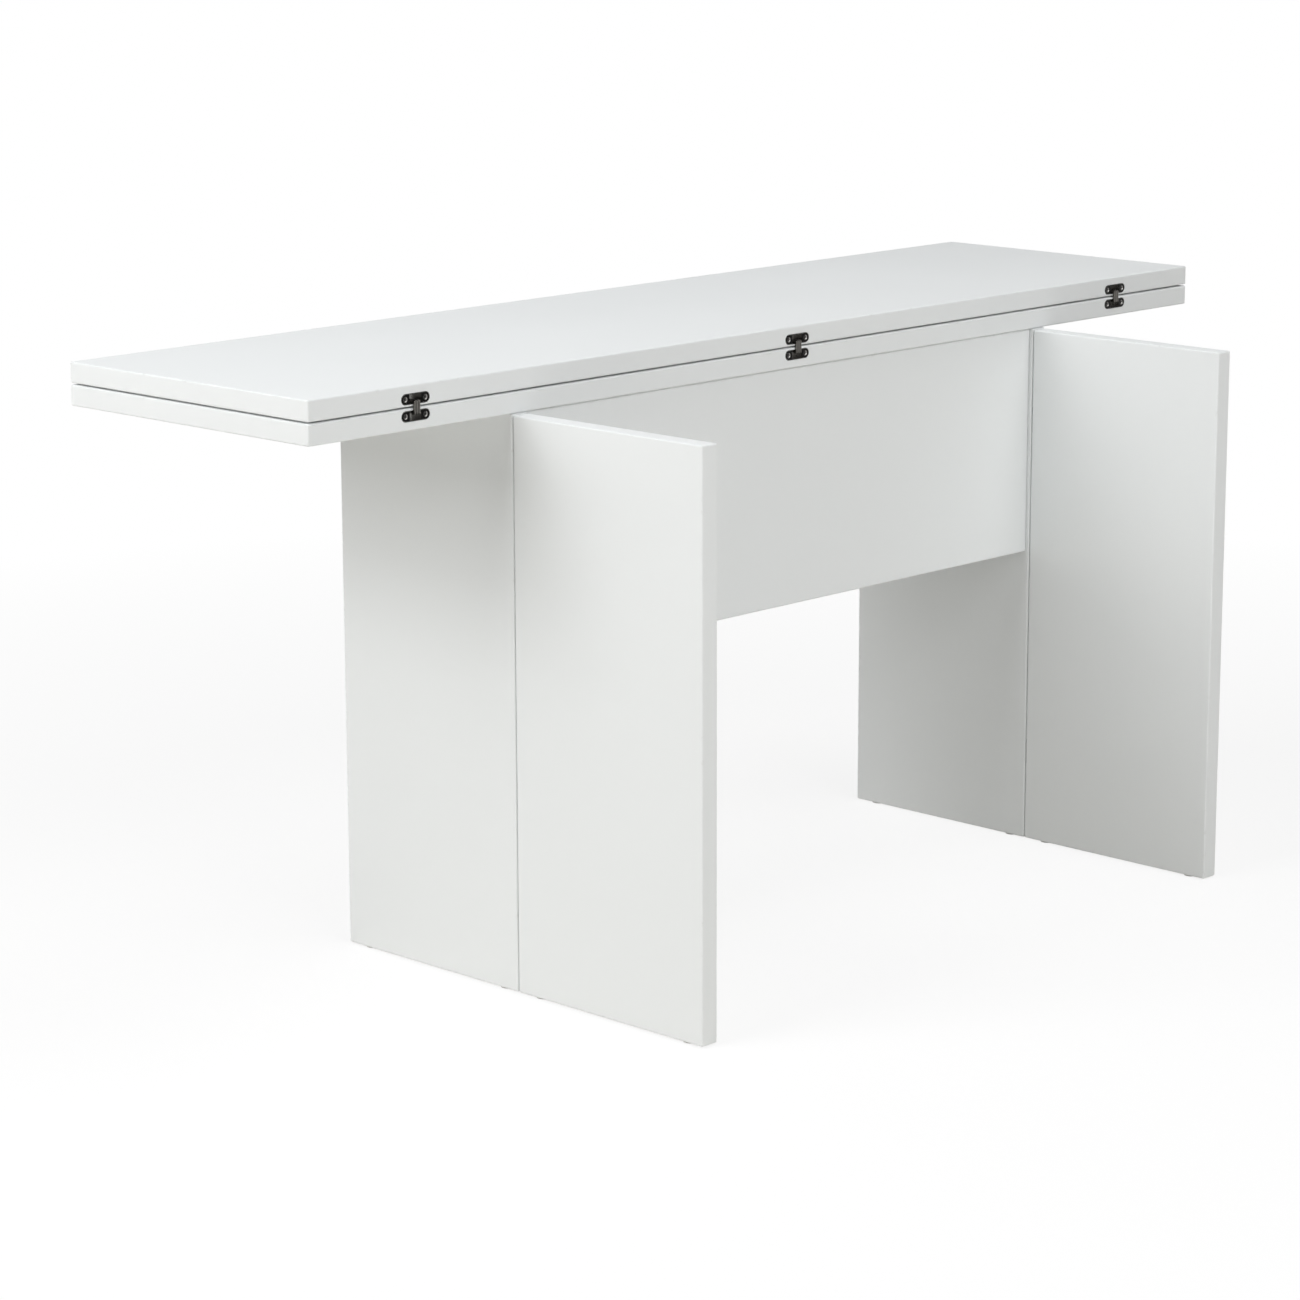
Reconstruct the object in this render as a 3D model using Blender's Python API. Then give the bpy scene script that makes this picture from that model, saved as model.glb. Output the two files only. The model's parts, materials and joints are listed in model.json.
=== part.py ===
"""Folding dining table: a doubled top on cross hinges over a fixed frame with two swinging leg wings.

Run with blender --background --python part.py. Units are metres. +Z is up, X runs along the table and
the wings stand towards -Y. The origin is on the floor, under the middle of the table as it stands here:
the top still folded to half its depth, the wings already swung out in line with the fixed legs.
"""

import math

import bmesh
import bpy
from mathutils import Matrix, Vector

# Whole table
HEIGHT = 0.750
LENGTH = 1.600
SEAT = 0.0003  # gap left between pieces that touch
RUNNING_GAP = 0.0003  # least gap round a part that turns

# Boards
LEAF_DEPTH = 0.420
LEAF_THICKNESS = 0.025
LEAF_GAP = 0.002  # between the folded leaves
LEG_INSET = 0.310  # from the end of the top to the outer face of a leg
LEG_THICKNESS = 0.025
LEG_DEPTH = 0.300
WING_DEPTH = 0.300
SEAM_GAP = 0.001  # between a fixed leg and its wing, and between the opened leaves
WING_HEADROOM = 0.002  # between a wing and the leaf that it carries
PANEL_HEIGHT = 0.300
PANEL_THICKNESS = 0.025
PANEL_SETBACK = 0.005  # of the centre panel behind the front edge of the fixed legs
EDGE_ROUND = 0.0022
EDGE_SEGMENTS = 2

# Cross hinges, seen along their axis: u points out of the board's edge and v across to the other board
HINGE_LENGTH = 0.043
PLATE_THICKNESS = 0.002
POCKET_RIM = 0.0009  # plate left round the pocket
BODY_STEP = 0.0003  # body narrower than the plate on each side
BODY_BACK = 0.0015  # wall behind the pocket
BODY_CORNER = 0.002
POCKET_SIDE = 0.0046  # room in the pocket on each side of the arms
CHEEK_THICKNESS = 0.003  # walls that hold the pivot pin
PIVOT_REACH = 0.006  # from the fold axis to a pivot, inwards and across alike
ARM_WIDTH = 0.0025
BAR_PROUD = 0.0015  # middle of the crossing bar, outside the fold axis
BEND_REACH = 0.007  # from the fold axis across to the far bend of an arm
NOSE_TURN = 0.0025  # how far the nose turns back in
NOSE_RISE = 0.0005
PAIR_THICKNESS = 0.002  # of the lamellae of the arm that has two
TRIPLE_THICKNESS = 0.0013  # of the lamellae of the arm that has three
LAMELLA_GAP = 0.00025
PIN_DIAMETER = 0.002
PIN_SEAT = 0.002  # depth of a pin in its cheek
SCREW_SPACING = 0.0305
SCREW_HOLE = 0.0036
SCREW_HEAD = 0.0070
TOP_HINGE_INSET = 0.160  # from the end of the top to the middle of the hinge
LEG_HINGE_INSET = 0.120  # from the ends of a wing to the middle of a hinge

# Glides under the legs
GLIDE_HEIGHT = 0.002
GLIDE_DIAMETER = 0.018
GLIDE_CHAMFER = 0.0008
GLIDE_SPIGOT = 0.005
GLIDE_SPIGOT_LENGTH = 0.008
GLIDE_INSET = 0.030

# Fittings between the centre panel, the fixed legs and the lower leaf
CAM_DIAMETER = 0.015
CAM_BACKSET = 0.034  # from the end of the panel to the middle of the cam
CAM_FLOOR = 0.0012  # cam left below the bolt's head
CAM_DRIVE_WIDTH = 0.0014
CAM_DRIVE_LENGTH = 0.0075
CAM_DRIVE_DEPTH = 0.002
CAM_INSET = 0.050  # from the panel's top and bottom
BOLT_DIAMETER = 0.006
BOLT_NECK = 0.004
BOLT_NECK_LENGTH = 0.005
BOLT_HEAD = 0.0066
BOLT_HEAD_LENGTH = 0.0024
BOLT_IN_LEG = 0.011
DOWEL_DIAMETER = 0.008
DOWEL_LENGTH = 0.030
DOWEL_IN_LEG = 0.012
DOWEL_CHAMFER = 0.001
DOWEL_INSET = 0.100
BRACKET_FLANGE = 0.036
BRACKET_WIDTH = 0.030
BRACKET_THICKNESS = 0.002
BRACKET_CORNER = 0.006
BRACKET_HOLE = 0.0045
BRACKET_HOLE_REACH = 0.024  # from the bend to the line of holes
BRACKET_HOLE_SPACING = 0.016
PANEL_BRACKET_SPACING = 0.460

# How round things are
END_STEPS = 6  # facets in a half circle of a plate
ARM_STEPS = 4  # facets in a half circle of an arm
BEND_STEPS = 2  # facets round a bend of an arm
CORNER_STEPS = 3
PIN_SIDES = 8  # of pins, bolts, dowels and the holes for them
SMALL_SIDES = 12
ROUND_SIDES = 16
SWEEP_STEPS = 24  # positions of the fold that size the pocket
SWEEP_SAMPLES = 4  # points on each side of an arm's outline

# Openings of the hinges as the table stands: folded is 0, boards in line is half a turn
TOP_OPENING = 0.0
WING_OPENING = math.pi

# Places worked out from the sizes above
UNDERSIDE = HEIGHT - 2 * LEAF_THICKNESS - LEAF_GAP
BOARD_BOTTOM = GLIDE_HEIGHT + SEAT
FIXED_TOP = UNDERSIDE - SEAT
WING_TOP = UNDERSIDE - WING_HEADROOM
EDGE_Y = (SEAM_GAP + WING_DEPTH - LEAF_DEPTH) / 2  # front edges of leaves and fixed legs
AXIS_TO_EDGE = SEAM_GAP / 2
AXIS_TO_FACE = LEAF_GAP / 2
AXIS_Y = EDGE_Y - AXIS_TO_EDGE
LEG_OUTER = LENGTH / 2 - LEG_INSET
LEG_INNER = LEG_OUTER - LEG_THICKNESS
PANEL_FRONT = EDGE_Y + PANEL_SETBACK
PANEL_BACK = PANEL_FRONT + PANEL_THICKNESS
PANEL_BOTTOM = FIXED_TOP - PANEL_HEIGHT
CAM_DEPTH = PANEL_THICKNESS / 2 + BOLT_HEAD / 2 + SEAT + CAM_FLOOR
LAMELLA_PITCH = (PAIR_THICKNESS + TRIPLE_THICKNESS) / 2 + LAMELLA_GAP
PAIR_LAYERS = -1, 1  # places of the lamellae across the pack, in pitches
TRIPLE_LAYERS = -2, 0, 2
PACK_WIDTH = (TRIPLE_LAYERS[-1] - TRIPLE_LAYERS[0]) * LAMELLA_PITCH + TRIPLE_THICKNESS
POCKET_WIDTH = PACK_WIDTH + 2 * POCKET_SIDE
BODY_LENGTH = POCKET_WIDTH + 2 * CHEEK_THICKNESS

SIDES = {"left": -1, "right": 1}
FRONT = Vector((0, -1, 0))
BACK = Vector((0, 1, 0))
UP = Vector((0, 0, 1))
DOWN = Vector((0, 0, -1))
OVER = Matrix.Rotation(math.pi, 4, "X")  # takes the first board of a folded hinge to the second


# Meshes


def mesh_from(name, fill):
    """A mesh filled by fill(bm), with its faces turned outwards."""
    bm = bmesh.new()
    fill(bm)
    bmesh.ops.recalc_face_normals(bm, faces=bm.faces)
    mesh = bpy.data.meshes.new(name)
    bm.to_mesh(mesh)
    bm.free()
    return mesh


def prism(name, outline, low, high):
    """A closed outline in local XY, drawn along Z from low to high."""

    def fill(bm):
        base = bm.faces.new([bm.verts.new((x, y, low)) for x, y in outline])
        grown = bmesh.ops.extrude_face_region(bm, geom=[base])
        top = [item for item in grown["geom"] if isinstance(item, bmesh.types.BMVert)]
        bmesh.ops.translate(bm, verts=top, vec=(0, 0, high - low))

    return mesh_from(name, fill)


def turned(name, profile, sides):
    """A profile of (radius, height) points turned about local Z, closed at both ends."""

    def fill(bm):
        directions = [(math.cos(a), math.sin(a)) for a in (math.tau * i / sides for i in range(sides))]
        rings = [[bm.verts.new((r * x, r * y, z)) for x, y in directions] for r, z in profile]
        for lower, upper in zip(rings, rings[1:]):
            for i in range(sides):
                j = (i + 1) % sides
                bm.faces.new((lower[i], lower[j], upper[j], upper[i]))
        bm.faces.new(rings[0])
        bm.faces.new(rings[-1])

    return mesh_from(name, fill)


def rod(name, diameter, low, high, sides=SMALL_SIDES):
    """A plain round rod along local Z."""
    return turned(name, [(diameter / 2, low), (diameter / 2, high)], sides)


def box(name, low, high):
    """A box between two corners."""
    outline = [(low[0], low[1]), (high[0], low[1]), (high[0], high[1]), (low[0], high[1])]
    return prism(name, outline, low[2], high[2])


def arc(centre, radius, start, turn, steps):
    """Points round a centre, from the angle start through turn, both ends included."""
    angles = [start + turn * i / steps for i in range(steps + 1)]
    return [(centre[0] + radius * math.cos(a), centre[1] + radius * math.sin(a)) for a in angles]


def stadium(length, width):
    """A slot outline: length along local Y, width along local X, round at both ends."""
    radius = width / 2
    middle = length / 2 - radius
    upper = arc((0, middle), radius, 0, math.pi, END_STEPS)
    lower = arc((0, -middle), radius, math.pi, math.pi, END_STEPS)
    return upper + lower


def rounded_rectangle(length, width, corner):
    """A rectangle with round corners: length along local Y, width along local X."""
    quarter = math.pi / 2
    outline = []
    for i, (x, y) in enumerate(((1, 1), (-1, 1), (-1, -1), (1, -1))):
        centre = x * (width / 2 - corner), y * (length / 2 - corner)
        outline += arc(centre, corner, i * quarter, quarter, CORNER_STEPS)
    return outline


def moved(mesh, matrix):
    """The same mesh after a change of place."""
    mesh.transform(matrix)
    return mesh


def axes(origin, x, y, z):
    """A placing matrix from an origin and three right-handed axes."""
    turn = Matrix((x, y, z)).transposed().to_4x4()
    return Matrix.Translation(origin) @ turn


def spin(angle):
    """A turn about local Z, which is a hinge's own axis."""
    return Matrix.Rotation(angle, 4, "Z")


# Objects


def finish(name, colour, roughness, metallic=0.0):
    """A plain Principled material."""
    material = bpy.data.materials.new(name)
    material.use_nodes = True
    shader = material.node_tree.nodes["Principled BSDF"]
    shader.inputs["Base Color"].default_value = (*colour, 1)
    shader.inputs["Roughness"].default_value = roughness
    shader.inputs["Metallic"].default_value = metallic
    return material


def place(name, mesh, material=None, matrix=None, parent=None):
    """A named object at a matrix in the frame of its parent."""
    item = bpy.data.objects.new(name, mesh)
    bpy.context.scene.collection.objects.link(item)
    item.parent = parent
    item.matrix_local = matrix if matrix is not None else Matrix()
    if material is not None:
        item.data.materials.clear()
        item.data.materials.append(material)
    return item


def boolean(item, other, operation):
    """A live Boolean between two objects, the second kept as a hidden wire helper."""
    other.hide_render = True
    other.display_type = "WIRE"
    modifier = item.modifiers.new(other.name, "BOOLEAN")
    modifier.operation = operation
    modifier.solver = "EXACT"
    modifier.object = other


def cut(item, name, mesh, matrix=None, parent=None):
    """Cuts a mesh, placed by its matrix, out of an object."""
    boolean(item, place(name, mesh, matrix=matrix, parent=parent), "DIFFERENCE")


def merged(name, base, joined=(), removed=()):
    """One mesh: a base with other meshes joined to it and others cut from it."""
    item = place(name, base)
    helpers = [place(f"{name}_joined", mesh) for mesh in joined]
    cutters = [place(f"{name}_cutter", mesh) for mesh in removed]
    for helper in helpers:
        boolean(item, helper, "UNION")
    for cutter in cutters:
        boolean(item, cutter, "DIFFERENCE")
    graph = bpy.context.evaluated_depsgraph_get()
    mesh = bpy.data.meshes.new_from_object(item.evaluated_get(graph))
    mesh.name = name
    for helper in [item, *helpers, *cutters]:
        bpy.data.objects.remove(helper)
    return mesh


def eased_board(name, low, high, material, parent=None):
    """A flat board between two corners, with its edges eased by a live bevel."""
    board = place(name, box(name, low, high), material, parent=parent)
    bevel = board.modifiers.new("eased_edges", "BEVEL")
    bevel.width = EDGE_ROUND
    bevel.segments = EDGE_SEGMENTS
    bevel.limit_method = "ANGLE"
    return board


# Cross hinge


def arm_outline():
    """An arm of the folded hinge, about its own pivot: out of the pocket, across, and back in."""
    half = ARM_WIDTH / 2
    pivot = Vector((0, 0))
    near = Vector((PIVOT_REACH + BAR_PROUD, 0))
    far = near + Vector((0, PIVOT_REACH + BEND_REACH))
    nose = far + Vector((-NOSE_TURN, NOSE_RISE))
    line = [pivot, near, far, nose]
    runs = [(b - a).normalized() for a, b in zip(line, line[1:])]
    headings = [math.atan2(run.y, run.x) for run in runs]
    right = math.pi / 2
    outline = arc(pivot, half, headings[0] + right, math.pi, ARM_STEPS)
    for corner, heading, following in zip(line[1:], headings, headings[1:]):
        outline += arc(corner, half, heading - right, following - heading, BEND_STEPS)
    outline += arc(nose, half, headings[-1] - right, math.pi, ARM_STEPS)
    for corner, run, following in reversed(list(zip(line[1:], runs, runs[1:]))):
        inner = (following - run).normalized()
        outline.append(corner + inner * half / inner.dot(Vector((-run.y, run.x))))
    return [Vector(point) for point in outline]


def pocket_span():
    """The pocket that both arms sweep in one housing: (depth, near side, far side) from the fold axis."""
    outline = arm_outline()
    sides = zip(outline, outline[1:] + outline[:1])
    shares = [step / SWEEP_SAMPLES for step in range(SWEEP_SAMPLES)]
    points = [start.lerp(end, share) for start, end in sides for share in shares]
    pivot = Vector((-PIVOT_REACH, -PIVOT_REACH))
    inside = []
    for step in range(SWEEP_STEPS + 1):
        fold = math.pi * step / SWEEP_STEPS
        own = [pivot + Matrix.Rotation(-fold / 2, 2) @ point for point in points]
        other = [Matrix.Rotation(-fold, 2) @ Vector((point.x, -point.y)) for point in own]
        inside += [point for point in own + other if point.x < -AXIS_TO_EDGE and point.y < 0]
    depth = -min(point.x for point in inside)
    near_side = -max(point.y for point in inside)
    far_side = -min(point.y for point in inside)
    return depth + RUNNING_GAP, near_side - RUNNING_GAP, far_side + RUNNING_GAP


POCKET_DEPTH, POCKET_NEAR, POCKET_FAR = pocket_span()
PLATE_FACE = -AXIS_TO_EDGE
PLATE_WIDTH = POCKET_FAR - POCKET_NEAR + 2 * POCKET_RIM
PLATE_MIDDLE = -(POCKET_FAR + POCKET_NEAR) / 2
BODY_WIDTH = PLATE_WIDTH - 2 * BODY_STEP
BODY_END = -(POCKET_DEPTH + BODY_BACK)

# Places an outline on a hinge: local Z out of the board, X across it and Y along the hinge
FACING = axes((0, PLATE_MIDDLE, 0), (0, 1, 0), (0, 0, 1), (1, 0, 0))


def hinge_plate(grown, low, high):
    """The round-ended plate of a housing, or its seat if grown, from low to high along u."""
    outline = stadium(HINGE_LENGTH + 2 * grown, PLATE_WIDTH + 2 * grown)
    return moved(prism("plate", outline, low, high), FACING)


def hinge_body(grown, low, high):
    """The body behind the plate, or its seat if grown, from low to high along u."""
    outline = rounded_rectangle(BODY_LENGTH + 2 * grown, BODY_WIDTH + 2 * grown, BODY_CORNER + grown)
    return moved(prism("body", outline, low, high), FACING)


def countersink(along):
    """The cutter of a screw hole in a hinge plate, with its cone at the front."""
    cone = (SCREW_HEAD - SCREW_HOLE) / 2
    past = PLATE_THICKNESS
    hole = SCREW_HOLE / 2
    profile = [(hole, PLATE_FACE - PLATE_THICKNESS - past), (hole, PLATE_FACE - cone)]
    profile.append((SCREW_HEAD / 2 + past, PLATE_FACE + past))
    return moved(turned("countersink", profile, PIN_SIDES), FACING @ Matrix.Translation((0, along, 0)))


def hinge_housing():
    """Plate and body in one casting, with the pocket, the pivot's bore and two countersunk holes."""
    plate = hinge_plate(0, PLATE_FACE - PLATE_THICKNESS, PLATE_FACE)
    body = hinge_body(0, BODY_END, PLATE_FACE - PLATE_THICKNESS / 2)
    half = POCKET_WIDTH / 2
    pocket = box("pocket", (-POCKET_DEPTH, -POCKET_FAR, -half), (BAR_PROUD, -POCKET_NEAR, half))
    reach = half + PIN_SEAT
    bore = rod("bore", PIN_DIAMETER + 2 * RUNNING_GAP, -reach, reach, PIN_SIDES)
    moved(bore, Matrix.Translation((-PIVOT_REACH, -PIVOT_REACH, 0)))
    holes = [countersink(sign * SCREW_SPACING / 2) for sign in SIDES.values()]
    return merged("hinge_housing", plate, [body], [pocket, bore, *holes])


def hinge_mortise():
    """The two-step recess routed into a board for a housing."""
    plate = hinge_plate(SEAT, PLATE_FACE - PLATE_THICKNESS - SEAT, PLATE_FACE + PLATE_THICKNESS)
    body = hinge_body(SEAT, BODY_END - SEAT, PLATE_FACE)
    return merged("hinge_mortise", plate, [body])


def hinge_arm(layers, thickness):
    """The lamellae of one arm, in the given layers of the pack, fast on their pivot pin."""
    reach = POCKET_WIDTH / 2 + PIN_SEAT - RUNNING_GAP
    pin = rod("pin", PIN_DIAMETER, -reach, reach, PIN_SIDES)
    lamellae = []
    for layer in layers:
        low = layer * LAMELLA_PITCH - thickness / 2
        lamellae.append(prism("lamella", arm_outline(), low, low + thickness))
    return merged("hinge_arm", pin, lamellae)


class CrossHinges:
    """The shared meshes of the cross hinges, and the way that one is fitted between two boards."""

    def __init__(self, casting, steel):
        self.casting = casting
        self.steel = steel
        self.housing = hinge_housing()
        self.mortise = hinge_mortise()
        pair = hinge_arm(PAIR_LAYERS, PAIR_THICKNESS)
        self.arms = pair, hinge_arm(TRIPLE_LAYERS, TRIPLE_THICKNESS)

    def fit(self, name, along, opening, fixed, turning):
        """One hinge, so far along its axis.

        fixed and turning are (word, board, frame, parent) for the two boards. The first frame is the
        hinge axes in the world, the second the same axes in the frame of the board that turns.
        """
        spot = Matrix.Translation((0, 0, along))
        pivot = Matrix.Translation((-PIVOT_REACH, -PIVOT_REACH, 0)) @ spin(-opening / 2)
        for mesh, (word, board, frame, parent) in zip(self.arms, (fixed, turning)):
            seat = frame @ spot if board is fixed[1] else frame @ spot @ OVER
            place(f"{name}_{word}_housing", self.housing, self.casting, seat, parent)
            place(f"{name}_{word}_arm", mesh, self.steel, seat @ pivot, parent)
            cut(board, f"{name}_{word}_mortise", self.mortise, seat, parent)


def hinge_axes(x, z, across):
    """The axes u, v and w of a hinge whose boards' edges face the front."""
    return axes((x, AXIS_Y, z), FRONT, across, FRONT.cross(across))


# Top


def leaves(material, fold):
    """The fixed lower leaf, and the upper leaf drawn folded in the frame of its hinge axis."""
    half = LENGTH / 2
    low = (-half, EDGE_Y, UNDERSIDE)
    high = (half, EDGE_Y + LEAF_DEPTH, UNDERSIDE + LEAF_THICKNESS)
    lower = eased_board("lower_leaf", low, high, material)
    low = (-AXIS_TO_EDGE - LEAF_DEPTH, AXIS_TO_FACE, -half)
    high = (-AXIS_TO_EDGE, AXIS_TO_FACE + LEAF_THICKNESS, half)
    upper = eased_board("upper_leaf", low, high, material, fold)
    return lower, upper


def build_top(white, hinges):
    """Both leaves with the three hinges along their front edges."""
    frame = hinge_axes(0, UNDERSIDE + LEAF_THICKNESS + AXIS_TO_FACE, UP)
    fold = place("top_fold_axis", None, matrix=frame @ spin(-TOP_OPENING))
    lower, upper = leaves(white, fold)
    reach = LENGTH / 2 - TOP_HINGE_INSET
    fixed = ("lower", lower, frame, None)
    turning = ("upper", upper, Matrix(), fold)
    for word, along in (("left", reach), ("middle", 0), ("right", -reach)):
        hinges.fit(f"top_hinge_{word}", along, TOP_OPENING, fixed, turning)


# Legs


def fixed_leg(side, material):
    """The rear half of a leg, which carries the lower leaf."""
    sign = SIDES[side]
    low_x, high_x = sorted((sign * LEG_INNER, sign * LEG_OUTER))
    low = (low_x, EDGE_Y, BOARD_BOTTOM)
    high = (high_x, EDGE_Y + LEG_DEPTH, FIXED_TOP)
    return eased_board(f"{side}_fixed_leg", low, high, material)


def wing(side, material, swing):
    """The front half of a leg, drawn folded onto the fixed half in the frame of its hinge axis."""
    low_w, high_w = sorted((-SIDES[side] * BOARD_BOTTOM, -SIDES[side] * WING_TOP))
    low = (-AXIS_TO_EDGE - WING_DEPTH, AXIS_TO_FACE, low_w)
    high = (-AXIS_TO_EDGE, AXIS_TO_FACE + LEG_THICKNESS, high_w)
    return eased_board(f"{side}_wing", low, high, material, swing)


def glide_mesh():
    """A nail-in glide: a chamfered disc on the floor with a spigot up into the board."""
    radius = GLIDE_DIAMETER / 2
    spigot = GLIDE_SPIGOT / 2
    profile = [(radius - GLIDE_CHAMFER, 0), (radius, GLIDE_CHAMFER), (radius, GLIDE_HEIGHT)]
    profile += [(spigot, GLIDE_HEIGHT), (spigot, GLIDE_HEIGHT + GLIDE_SPIGOT_LENGTH)]
    return turned("glide", profile, SMALL_SIDES)


def fit_glides(board, spots, mesh, material, parent=None):
    """Glides under a board, and the bores for their spigots."""
    top = GLIDE_HEIGHT + GLIDE_SPIGOT_LENGTH + SEAT
    bore = rod("glide_bore", GLIDE_SPIGOT + 2 * SEAT, 0, top)
    for end, spot in spots.items():
        place(f"{board.name}_glide_{end}", mesh, material, spot, parent)
        cut(board, f"{board.name}_glide_{end}_bore", bore, spot, parent)


def build_leg(side, white, hinges, glide, nylon):
    """A fixed leg and its wing, with their hinges and glides. It returns the fixed leg."""
    sign = SIDES[side]
    frame = hinge_axes(sign * (LEG_INNER - AXIS_TO_FACE), 0, Vector((-sign, 0, 0)))
    swing = place(f"{side}_wing_axis", None, matrix=frame @ spin(-WING_OPENING))
    leg = fixed_leg(side, white)
    flap = wing(side, white, swing)
    fixed = ("leg", leg, frame, None)
    turning = ("wing", flap, Matrix(), swing)
    heights = {"low": BOARD_BOTTOM + LEG_HINGE_INSET, "high": WING_TOP - LEG_HINGE_INSET}
    for word, height in heights.items():
        hinges.fit(f"{side}_hinge_{word}", -sign * height, WING_OPENING, fixed, turning)
    middle = sign * (LEG_INNER + LEG_THICKNESS / 2)
    reaches = {"front": EDGE_Y + GLIDE_INSET, "back": EDGE_Y + LEG_DEPTH - GLIDE_INSET}
    spots = {end: Matrix.Translation((middle, y, 0)) for end, y in reaches.items()}
    fit_glides(leg, spots, glide, nylon)
    upright = OVER if sign > 0 else Matrix()
    across = AXIS_TO_FACE + LEG_THICKNESS / 2
    reaches = {"front": GLIDE_INSET - WING_DEPTH - AXIS_TO_EDGE, "back": -GLIDE_INSET - AXIS_TO_EDGE}
    spots = {end: Matrix.Translation((u, across, 0)) @ upright for end, u in reaches.items()}
    fit_glides(flap, spots, glide, nylon, swing)
    return leg


# Centre panel and its fittings


def centre_panel(material):
    """The upright panel that ties the fixed legs together under the lower leaf."""
    half = LEG_INNER - SEAT
    low = (-half, PANEL_FRONT, PANEL_BOTTOM)
    high = (half, PANEL_BACK, FIXED_TOP)
    return eased_board("centre_panel", low, high, material)


def bolt_mesh():
    """A cam bolt along local Z: thread in the leg below zero, then shank, neck and head in the panel."""
    shank = BOLT_DIAMETER / 2
    neck = BOLT_NECK / 2
    head = BOLT_HEAD / 2
    head_end = CAM_BACKSET + BOLT_HEAD_LENGTH / 2
    head_start = head_end - BOLT_HEAD_LENGTH
    neck_start = head_start - BOLT_NECK_LENGTH
    profile = [(shank, -BOLT_IN_LEG), (shank, neck_start), (neck, neck_start)]
    profile += [(neck, head_start), (head, head_start), (head, head_end)]
    return turned("cam_bolt", profile, PIN_SIDES)


def cam_mesh():
    """A cam along local Z, its face at zero, open along local X for the bolt and crossed for a driver."""
    body = rod("cam_body", CAM_DIAMETER, -CAM_DEPTH, 0, ROUND_SIDES)
    past_head = BOLT_HEAD_LENGTH / 2 + SEAT
    throat = rod("throat", BOLT_HEAD + 2 * SEAT, -past_head, CAM_DIAMETER, PIN_SIDES)
    moved(throat, axes((0, 0, -PANEL_THICKNESS / 2), (0, 1, 0), (0, 0, 1), (1, 0, 0)))
    half = CAM_DRIVE_WIDTH / 2
    reach = CAM_DRIVE_LENGTH / 2
    deep = CAM_DRIVE_DEPTH
    slot = box("slot", (-reach, -half, -deep), (reach, half, deep))
    cross = box("cross", (-half, -reach, -deep), (half, reach, deep))
    return merged("cam", body, removed=[throat, slot, cross])


def dowel_mesh():
    """A chamfered dowel along local Z, zero at the leg's inner face."""
    radius = DOWEL_DIAMETER / 2
    tip = radius - DOWEL_CHAMFER
    far = DOWEL_LENGTH - DOWEL_IN_LEG
    profile = [(tip, -DOWEL_IN_LEG), (radius, DOWEL_CHAMFER - DOWEL_IN_LEG)]
    profile += [(radius, far - DOWEL_CHAMFER), (tip, far)]
    return turned("dowel", profile, PIN_SIDES)


def fit_panel(panel, legs, zinc, beech):
    """Cams, bolts and dowels that join the centre panel to both fixed legs."""
    cam = cam_mesh()
    bolt = bolt_mesh()
    dowel = dowel_mesh()
    cam_seat = rod("cam_seat", CAM_DIAMETER + 2 * SEAT, -CAM_DEPTH - SEAT, CAM_DIAMETER, ROUND_SIDES)
    bolt_bore = rod("bolt_bore", BOLT_HEAD + 2 * SEAT, -BOLT_IN_LEG - SEAT, CAM_BACKSET, PIN_SIDES)
    far = DOWEL_LENGTH - DOWEL_IN_LEG + SEAT
    dowel_bore = rod("dowel_bore", DOWEL_DIAMETER + 2 * SEAT, -DOWEL_IN_LEG - SEAT, far, PIN_SIDES)
    middle = (PANEL_FRONT + PANEL_BACK) / 2
    heights = {"low": (PANEL_BOTTOM + CAM_INSET, PANEL_BOTTOM + DOWEL_INSET)}
    heights["high"] = (FIXED_TOP - CAM_INSET, FIXED_TOP - DOWEL_INSET)
    for side, sign in SIDES.items():
        inward = Vector((-sign, 0, 0))
        across = inward.cross(UP)
        for level, (cam_z, dowel_z) in heights.items():
            name = f"{side}_{level}"
            bolt_line = axes((sign * LEG_INNER, middle, cam_z), UP, across, inward)
            peg_line = axes((sign * LEG_INNER, middle, dowel_z), UP, across, inward)
            cam_spot = (sign * (LEG_INNER - CAM_BACKSET), PANEL_BACK, cam_z)
            cam_line = axes(cam_spot, -inward, inward.cross(BACK), BACK)
            place(f"panel_cam_bolt_{name}", bolt, zinc, bolt_line)
            place(f"panel_cam_{name}", cam, zinc, cam_line)
            place(f"panel_dowel_{name}", dowel, beech, peg_line)
            cut(panel, f"panel_cam_{name}_seat", cam_seat, cam_line)
            for board in (panel, legs[side]):
                cut(board, f"{board.name}_bolt_{name}_bore", bolt_bore, bolt_line)
                cut(board, f"{board.name}_dowel_{name}_bore", dowel_bore, peg_line)


def bracket_flange(name):
    """One flange of a bracket along local X, with round free corners and two screw holes."""
    half = BRACKET_WIDTH / 2
    corner = BRACKET_CORNER
    right = math.pi / 2
    outline = [(0, -half)]
    outline += arc((BRACKET_FLANGE - corner, corner - half), corner, -right, right, CORNER_STEPS)
    outline += arc((BRACKET_FLANGE - corner, half - corner), corner, 0, right, CORNER_STEPS)
    outline.append((0, half))
    plate = prism(name, outline, 0, BRACKET_THICKNESS)
    holes = []
    for sign in SIDES.values():
        hole = rod("hole", BRACKET_HOLE, -BRACKET_THICKNESS, 2 * BRACKET_THICKNESS, PIN_SIDES)
        spot = (BRACKET_HOLE_REACH, sign * BRACKET_HOLE_SPACING / 2, 0)
        holes.append(moved(hole, Matrix.Translation(spot)))
    return merged(name, plate, removed=holes)


def bracket_mesh():
    """A bent steel angle: flanges along local +X and +Z from the bend, its width along Y."""
    level = bracket_flange("level_flange")
    upright = bracket_flange("upright_flange")
    moved(upright, axes((0, 0, 0), (0, 0, 1), (0, -1, 0), (1, 0, 0)))
    return merged("bracket", level, [upright])


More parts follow.
